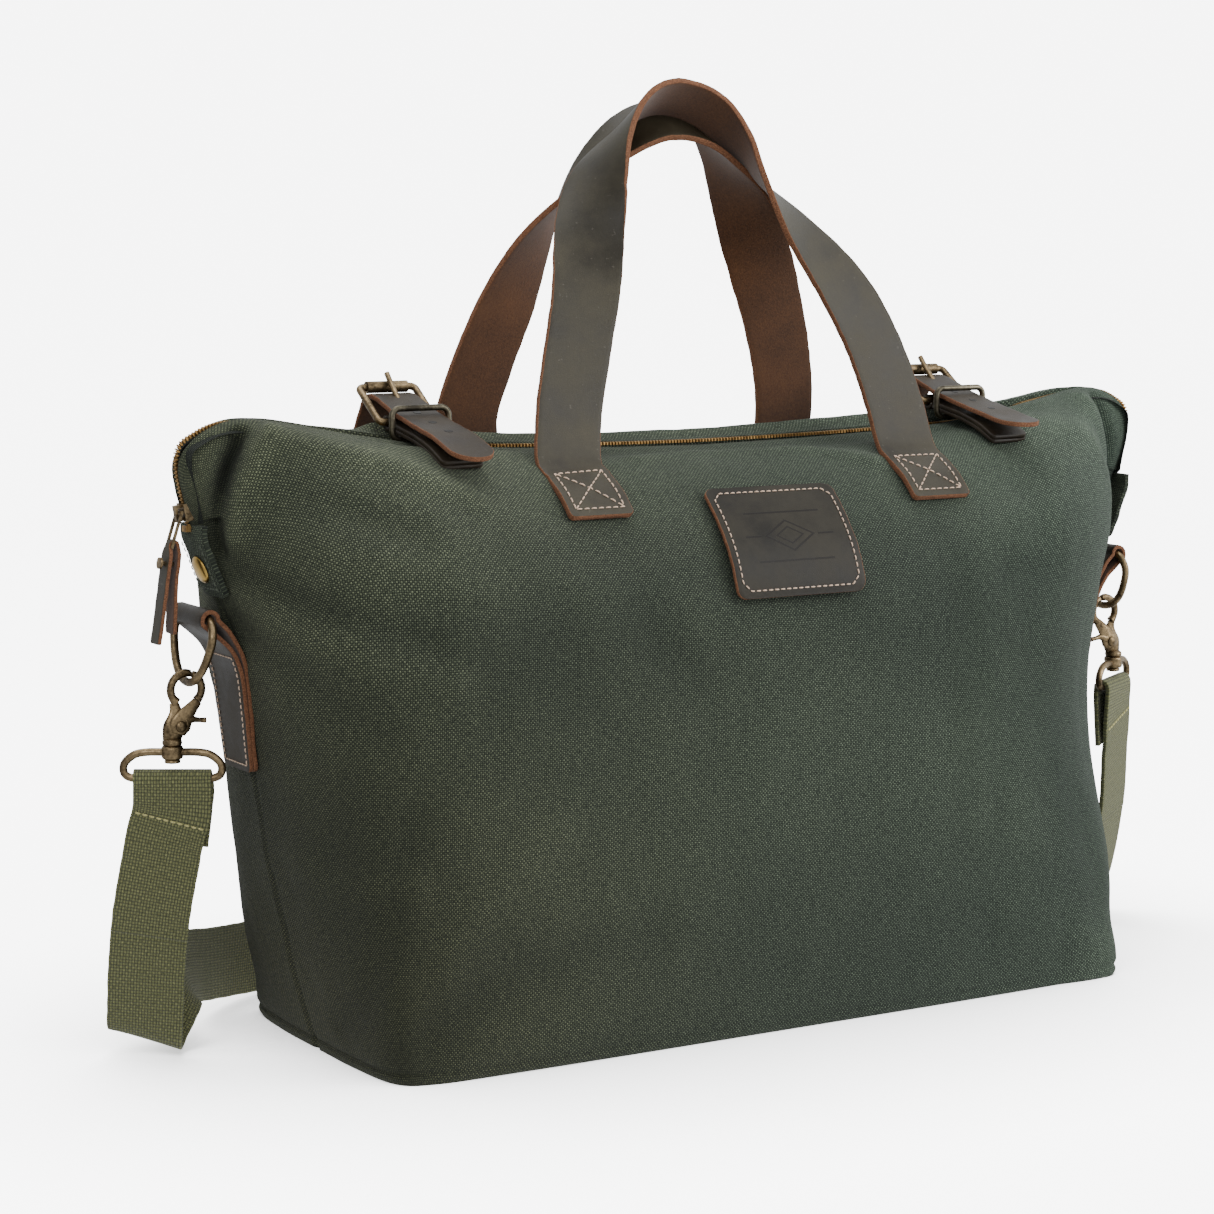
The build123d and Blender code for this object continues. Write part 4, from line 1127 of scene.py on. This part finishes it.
def make_closure(word, side):
    """Billet through the roller buckle and keeper, and the double chape under it."""
    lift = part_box(f"{word}_chape")[0][2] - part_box("left_chape")[0][2]
    x = side * CLOSURE_X
    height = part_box("left_buckle_frame")[0][2] - (325.0 - 2.0) * MM
    across = Vector((1, 0, 0))
    line = [Vector((x, y * MM, z * MM + height + lift)) for y, z in BILLET]
    if side > 0:
        line[-2] += Vector((0, 0, 1.5 * MM))
        line[-1] += Vector((0, 0, 5.0 * MM))
    stations = facing(line_stations(line, across, 2.5 * MM, [(True, 2 * MM), (False, 12 * MM)]), (0, 0, 1))
    billet = strip(f"{word}_strap_billet", stations, BILLET_W, 2.6 * MM, skin("trim"), (2 * MM, 11.5 * MM),
                   fray=0.5 * MM)
    put(billet, "bag", "trim_leather", f"{word}_billet")
    # the holes are not cut: thin near-black discs laid on the billet are painted shade where the punched
    # holes stand
    for k, back in enumerate((0.036, 0.054, 0.072)):
        point, normal = on_strip(stations, stations[-1][3] - back, 0.0, 1.32 * MM)
        hole_shade_disc = lathe(f"{word}_billet_hole_shade_{k}", [(2.3, 0.0), (2.2, 0.12), (1.7, 0.1), (0.1, 0.02)],
                     point, normal, "hole_shade", 18)
        put(hole_shade_disc, "bag", "trim_leather")
    row = seam(stations, box_corners(5 * MM, 26 * MM, 8.5 * MM, 8.5 * MM), 1.45 * MM)
    sew(f"{word}_billet_stitches", [row], "bag", "trim_leather")

    pieces = []
    for k, (drop, cut) in enumerate(((-1.25, 0), (1.2, 3))):
        line = [Vector((x, (y + cut * 0.2) * MM, (z - drop) * MM + height + lift)) for y, z in CHAPE]
        line = facing(line_stations(line, across, 2.5 * MM, [(True, 3 * MM)]), (0, 0, 1))
        pieces.append(strip(f"{word}_chape_{k}", line, BILLET_W, 2.2 * MM, skin("trim"), (2.5 * MM, 0.0), 8,
                            fray=0.4 * MM))
    heel = Vector((x, 4.0 * MM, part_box(f"{word}_buckle_frame")[0][2] + 2.0 * MM))
    around = []
    for turn in range(-150, 61, 30):
        angle = math.radians(turn - 100)
        around.append(heel + Vector((0, -math.sin(angle), math.cos(angle))) * 3.9 * MM)
    for k, shift in enumerate((-7.9, 7.9)):
        line = line_stations([p + Vector((shift * MM, 0, 0)) for p in around], across, 1.5 * MM)
        pieces.append(strip(f"{word}_chape_loop_{k}", line, 9.0 * MM, 2.1 * MM, skin("trim"), columns=4))
    put(join(f"{word}_buckle_chape", pieces), "bag", "trim_leather", f"{word}_chape")


# ---------------------------------------------------------------- patch
def make_patch():
    """Leather patch with a plain stitched border and a blind-stamped lozenge."""
    low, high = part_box("leather_patch")
    width = high[0] - low[0]
    line = mm((0, -108.2, 239.0), (0, -106.6, 246.5), (0, -101.6, 259.0), (0, -94.5, 270.6),
              (0, -84.6, 282.4), (0, -72.5, 293.6))
    stations = line_stations(line, Vector((-1, 0, 0)), 2 * MM, [(True, 6 * MM), (False, 6 * MM)])
    stations = facing(stations, (0, -1, 0))
    patch = strip("name_patch", stations, width, 2.2 * MM, skin("patch"), (6 * MM, 6 * MM), 30, fray=0.5 * MM)
    put(patch, "bag", "trim_leather", "leather_patch")
    inset, cut = 4.0 * MM, 4.5 * MM
    near, far, half = inset, stations[-1][3] - inset, width / 2 - inset
    ring = [(near + cut, -half), (far - cut, -half), (far, -half + cut), (far, half - cut), (far - cut, half),
            (near + cut, half), (near, half - cut), (near, -half + cut), (near + cut, -half)]
    sew("patch_stitches", [seam(stations, ring, 1.25 * MM)], "bag", "trim_leather", 2.7, 1.1, 0.4)


# ---------------------------------------------------------------- zip
ZIP_LINE = [(0, 314), (120, 316), (200, 320), (235, 328), (278, 334), (299, 329), (309.5, 317), (303.5, 283)]


def zip_places(spacing, drop):
    """Evenly spaced (point, direction, inward) along the whole zip, drop millimetres inside its line."""
    half = [Vector((x, 0, z)) * MM for x, z in ZIP_LINE]
    points = to_side(half[::-1], 1) + half[1:]
    count = 900
    dense = [catmull(points, i / count) for i in range(count + 1)]
    out, run, wanted = [], 0.0, 0.0
    for a, b in zip(dense, dense[1:]):
        along = (b - a).normalized()
        inward = Vector((along.z, 0, -along.x))
        size = (b - a).length
        while wanted <= run + size:
            out.append((a.lerp(b, (wanted - run) / size) + inward * drop * MM, along, inward))
            wanted += spacing
        run += size
    return out


def make_zip():
    """Interlocked teeth and tapes on both sides of the zip."""
    # a tooth's sections: distance from the zip's plane, half width and half height
    sections = ((2.1, 0.40, 0.75), (0.4, 0.38, 0.85), (-0.15, 0.28, 0.75), (-0.7, 0.4, 0.6))
    for side, word in ((-1, "front"), (1, "back")):
        verts, faces = [], []
        for k, (point, along, inward) in enumerate(zip_places(1.0 * MM, -0.1)):
            if (k % 2 == 0) != (side < 0):
                continue
            base = len(verts)
            for reach, wide, tall in sections:
                for along_sign, tall_sign in ((-1, -1), (1, -1), (1, 1), (-1, 1)):
                    verts.append(point + along * (along_sign * wide * MM) - inward * (tall_sign * tall * MM)
                                 + Vector((0, side * reach * MM, 0)))
            faces += ring_faces(base, 4, 4)
            faces.append((base, base + 3, base + 2, base + 1))
            faces.append((base + 12, base + 13, base + 14, base + 15))
        teeth = plain_mesh(f"zip_row_{word}", verts, faces, [MATERIALS["zip"]], smooth=False)
        put(teeth, "bag", "zip_metal", f"zip_teeth_{word}")

        verts, flats = [], []
        places = zip_places(3 * MM, 2.6)
        for k, (point, _, inward) in enumerate(places):
            for reach, sink in ((0.9, 0.0), (2.0, -0.5), (3.6, 0.1), (9.0, 2.2)):
                verts.append(point + inward * (sink * MM) + Vector((0, side * reach * MM, 0)))
                flats.append((reach * MM, k * 3 * MM, 0))
        faces = grid_faces(0, 3, len(places) - 1, True)
        tape = plain_mesh(f"zip_cloth_{word}", verts, faces, [MATERIALS["tape"]])
        set_layer(tape, "weave", flats)
        put(tape, "bag", "zip_tape", f"zip_tape_{word}")


def make_pull():
    """Folded leather pull with two tails of uneven length, narrowed at the puller."""
    low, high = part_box("zip_pull_tab")
    top = Vector(((low[0] + high[0]) / 2 + 5.4 * MM, 0, high[2] - 1.2 * MM))
    hang = math.radians(8)
    lean = Vector((-math.sin(hang), 0, -math.cos(hang)))
    out = Vector((-math.cos(hang), 0, math.sin(hang)))
    line = [top + lean * drop * MM + out * reach * MM for reach, drop in
            ((3.1, 53), (2.8, 40), (2.6, 24), (2.3, 9), (2.2, 3), (1.2, 0.4))]
    line += [top + lean * drop * MM - out * reach * MM for reach, drop in
             ((1.2, 0.4), (2.2, 3), (2.3, 9), (2.4, 22), (3.4, 34), (4.6, 47))]
    stations = line_stations(line, Vector((0, 1, 0)), 1.5 * MM, [(True, 4 * MM), (False, 4 * MM)])
    pull = strip("leather_pull", stations, 11 * MM, 1.9 * MM, skin("leather"), (1.5 * MM, 1.5 * MM), 6,
                 fray=0.5 * MM)
    middle = top + lean * 1.4 * MM
    for vertex in pull.data.vertices:
        near = 1 - step((vertex.co - middle).dot(lean), 0.0, 6 * MM)
        vertex.co.y *= 1 - 0.55 * near
    put(pull, "zip_pull_tab", "trim_leather", "zip_pull_tab")


# ---------------------------------------------------------------- end tabs and snaps
def make_end(word, side):
    """Canvas tab at the zip's end with its stitching and snap."""
    line = mm((-301.4, 0, 283.0), (-301.2, 0, 275.5), (-297.6, 0, 266.5), (-293.6, 0, 256.0),
              (-289.0, 0, 246.0))
    stations = line_stations(to_side(line, side), Vector((0, 1, 0)), 2 * MM, [(False, 3 * MM)])
    stations = facing(stations, (side, 0, 0))
    cloth = [MATERIALS["canvas"], MATERIALS["canvas"], MATERIALS["canvas_edge"]]
    tab = strip(f"{word}_canvas_tab", stations, 28 * MM, 3.0 * MM, cloth, (0.0, 3 * MM), 14, fray=0.8 * MM)
    # an even paleness, partly wear and partly painted light, and a little olive tint
    set_layer(tab, "wear_and_light", [(0.35, 0.1, 0.0)] * len(tab.data.vertices))
    for vertex in tab.data.vertices:
        fold = noise.noise(vertex.co * 90) * 1.0 * MM
        vertex.co.x += side * ((abs(vertex.co.y) / 14 / MM) ** 2 * -1.2 * MM + 0.4 * fold)
    put(tab, f"{word}_end_tab", "canvas", f"{word}_end_tab")
    edge = 11.5 * MM
    rows = [seam(stations, run, 1.7 * MM) for run in ([(0.009, -edge), (0.036, -edge)],
                                                      [(0.009, edge), (0.036, edge)],
                                                      [(0.0345, -edge), (0.0345, edge)])]
    sew(f"{word}_tab_stitches", rows, f"{word}_end_tab", "canvas", 2.4, 0.9, 0.35, thread="green_thread")

    tilt = math.radians(21)
    cap = lathe(f"{word}_snap_dome", [(7.4, 1.1), (7.6, 1.5), (7.2, 2.1), (6.4, 2.7), (4.8, 3.2), (2.6, 3.55),
                                      (0.6, 3.65), (0.0, 3.66)],
                mm((side * 295.6, 0, 260.0))[0], (side * math.cos(tilt), 0, -math.sin(tilt)), "gold")
    put(cap, f"{word}_end_tab", "bright_brass", f"{word}_snap_cap")


def make_ring_tab(word, side):
    """Leather loop that holds the D-ring: roll, two plies down the end wall, stitched rectangle."""
    y = RING_Y
    bar = Vector((-297.0, y, 234.5))
    roll = []
    for turn in range(-33, 184, 27):
        angle = math.radians(turn)
        roll.append(bar + Vector((-math.cos(angle), 0, math.sin(angle))) * 4.4)
    outer = [(-273.8, y, 153.5), (-275.4, y, 168), (-277.6, y, 188), (-280.2, y, 206), (-286.5, y, 219.5)]
    inner = [(-286.0, y, 227.0), (-278.6, y, 212.0), (-275.2, y, 190), (-273.2, y, 168), (-271.4, y, 153.5)]
    line = to_side(mm(*outer, *roll, *inner), side)
    stations = line_stations(line, Vector((0, 1, 0)), 2 * MM, [(True, 4 * MM), (False, 4 * MM)])
    sign = 1 if stations[3][2].x * side > 0 else -1
    stations = [(c, a, f * sign, s) for c, a, f, s in stations]
    tab = strip(f"{word}_ring_leather", stations, 40 * MM, 2.3 * MM, skin("trim"), (4 * MM, 4 * MM), 12,
                fray=0.5 * MM)
    for vertex in tab.data.vertices:
        narrow = 1 - 0.16 * (1 - step(vertex.co.z, 0.15, 0.215))
        vertex.co.y = y * MM + (vertex.co.y - y * MM) * narrow
    put(tab, "bag", "trim_leather", f"{word}_d_ring_tab")
    row = seam(stations, box_corners(3.5 * MM, 62 * MM, 13.6 * MM, 16.4 * MM), 1.3 * MM)
    sew(f"{word}_ring_stitches", [row], "bag", "trim_leather", 2.4, 0.9, 0.38)


# ---------------------------------------------------------------- D-rings, hooks and loops
def make_hardware(word, side):
    """D-ring, trigger hook, gate and the swivel loop at one end; routes in millimetres."""
    y = RING_Y

    def bar(name, points, radii, **more):
        """Cast bar of this end."""
        return tube(f"{word}_{name}", to_side(mm(*points), side), radii, **more)

    def fitting(name, pieces, body, node):
        """Pieces joined under one name, standing for one CAD node."""
        obj = join(f"{word}_{name}", pieces) if len(pieces) > 1 else pieces[0]
        put(obj, f"{word}_{body}", "antique_brass", f"{word}_{node}")

    top, bow = Vector((-297.0, y, 234.5)), Vector((-302.0, y, 200.9))
    path = [top + Vector((0, s, 0)) for s in (-18, 0, 18)]
    path += [top + Vector((0, 25 * math.cos(t), 0)) + (bow - top) * (math.sin(t) ** 0.9) for t in
             [math.radians(a) for a in (12, 30, 50, 70, 90, 110, 130, 150, 168)]]
    fitting("dee", [bar("dee", path, 2.2, closed=True)], "d_ring", "d_ring")

    across = Vector((math.cos(FACING), -math.sin(FACING), 0))
    base = Vector((-311.0, y, 0))
    half = [(14, 151.6), (21.5, 151.9), (25.0, 154.5), (24.6, 159.5), (19.5, 163.9), (13, 165.2), (5, 165.3)]
    outline = [(0, 151.6)] + half + [(-a, z) for a, z in half[::-1]]
    loop = bar("loop_wire", [base + across * a + Vector((0, 0, z)) for a, z in outline], 2.1, closed=True)
    centre = to_side(mm(base), side)[0]
    profile = [(3.2, 161.8), (4.9, 161.9), (5.5, 162.6), (5.6, 164), (5.2, 165.2), (5.6, 166.4), (5.5, 167.8),
               (4.9, 168.5), (3.2, 168.6)]
    collar = lathe(f"{word}_collar", profile, centre, (0, 0, 1))
    fitting("strap_loop", [loop, collar], "d_ring", "swivel_loop")

    def arc(start, end, steps):
        """Points round the hook's eye between two angles in degrees, 0 towards the bag and 90 up."""
        angles = [math.radians(start + (end - start) * k / steps) for k in range(steps + 1)]
        return [Vector((-302.8, y, 197.3)) + Vector((math.cos(a), 0, math.sin(a))) * 8.5 for a in angles]

    def route(points, shift):
        """Points (x, z) at a distance from the ring's middle plane."""
        return [(x, y + shift, z) for x, z in points]

    fixed = bar("fixed_jaw", arc(228, 74, 8), [2.6] + [2.15] * 7 + [1.8])
    profile = [(2.6, 159.4), (4.0, 159.7), (4.1, 161.1), (3.0, 161.6), (3.0, 168.4), (4.8, 169.0),
               (5.2, 170.0), (5.0, 171.2), (4.0, 172.2)]
    stem = lathe(f"{word}_stem", profile, centre, (0, 0, 1))
    path = [(-310.9, 169.4), (-310.6, 173.0), (-309.6, 177.5), (-308.6, 182.0), (-308.6, 186.5),
            (-309.4, 190.6)]
    plate = bar("back_plate", route(path, 0.6), [4.6, 5.4, 6.2, 5.2, 3.4, 2.5], flat=0.42, sides=18)
    fitting("trigger_hook", [fixed, stem, plate], "hook", "hook")

    jaw = bar("gate_jaw", arc(-46, 66, 6), [2.5] + [2.15] * 5 + [1.8])
    path = [(-308.4, 174.6), (-307.0, 178.5), (-304.4, 183.0), (-300.6, 187.2), (-296.9, 191.0)]
    gate = bar("gate_plate", route(path, -1.1), [4.2, 6.0, 5.0, 3.6, 2.6], flat=0.34, sides=18)
    path = [(-304.0, 180.2), (-300.2, 181.4), (-296.2, 180.8), (-292.6, 180.4)]
    lever = bar("lever", route(path, -0.6), [3.0, 1.9, 1.3, 1.5])
    pivot = to_side(mm((-307.0, y - 2.6, 178.5)), side)[0]
    profile = [(3.0, -0.8), (3.0, 0.7), (2.6, 1.3), (1.4, 1.8), (0.2, 2.0)]
    rivet = lathe(f"{word}_rivet", profile, pivot, (0, -1, 0), sides=20)
    fitting("trigger_gate", [gate, jaw, lever, rivet], "gate", "hook_gate")


def paint_nodes():
    """Materials of the CAD parts that stay."""
    metals = {"brass": ["zip_slider", "zip_puller", "pull_tab_rivet", "strap_adjuster"], "zip": ["zip_stops"],
              "bronze": ["left_keeper_ring", "right_keeper_ring"]}
    metals["brass"] += [f"{word}_{part}" for word in ("left", "right")
                        for part in ("buckle_frame", "buckle_prong", "buckle_roller", "snap_stud")]
    for metal_name, nodes in metals.items():
        for node in nodes:
            slots = NODES[node].data.materials
            slots.clear()
            slots.append(MATERIALS[metal_name])


make_camera()
make_strap(-1, "left")
make_strap(1, "right")
make_studio()
make_canvas()
make_lining()
for handle in ("front", "back"):
    make_handle(handle)
for end, sign in (("left", -1), ("right", 1)):
    make_closure(end, sign)
    make_end(end, sign)
    make_ring_tab(end, sign)
    make_hardware(end, sign)
make_patch()
make_zip()
make_pull()
paint_nodes()
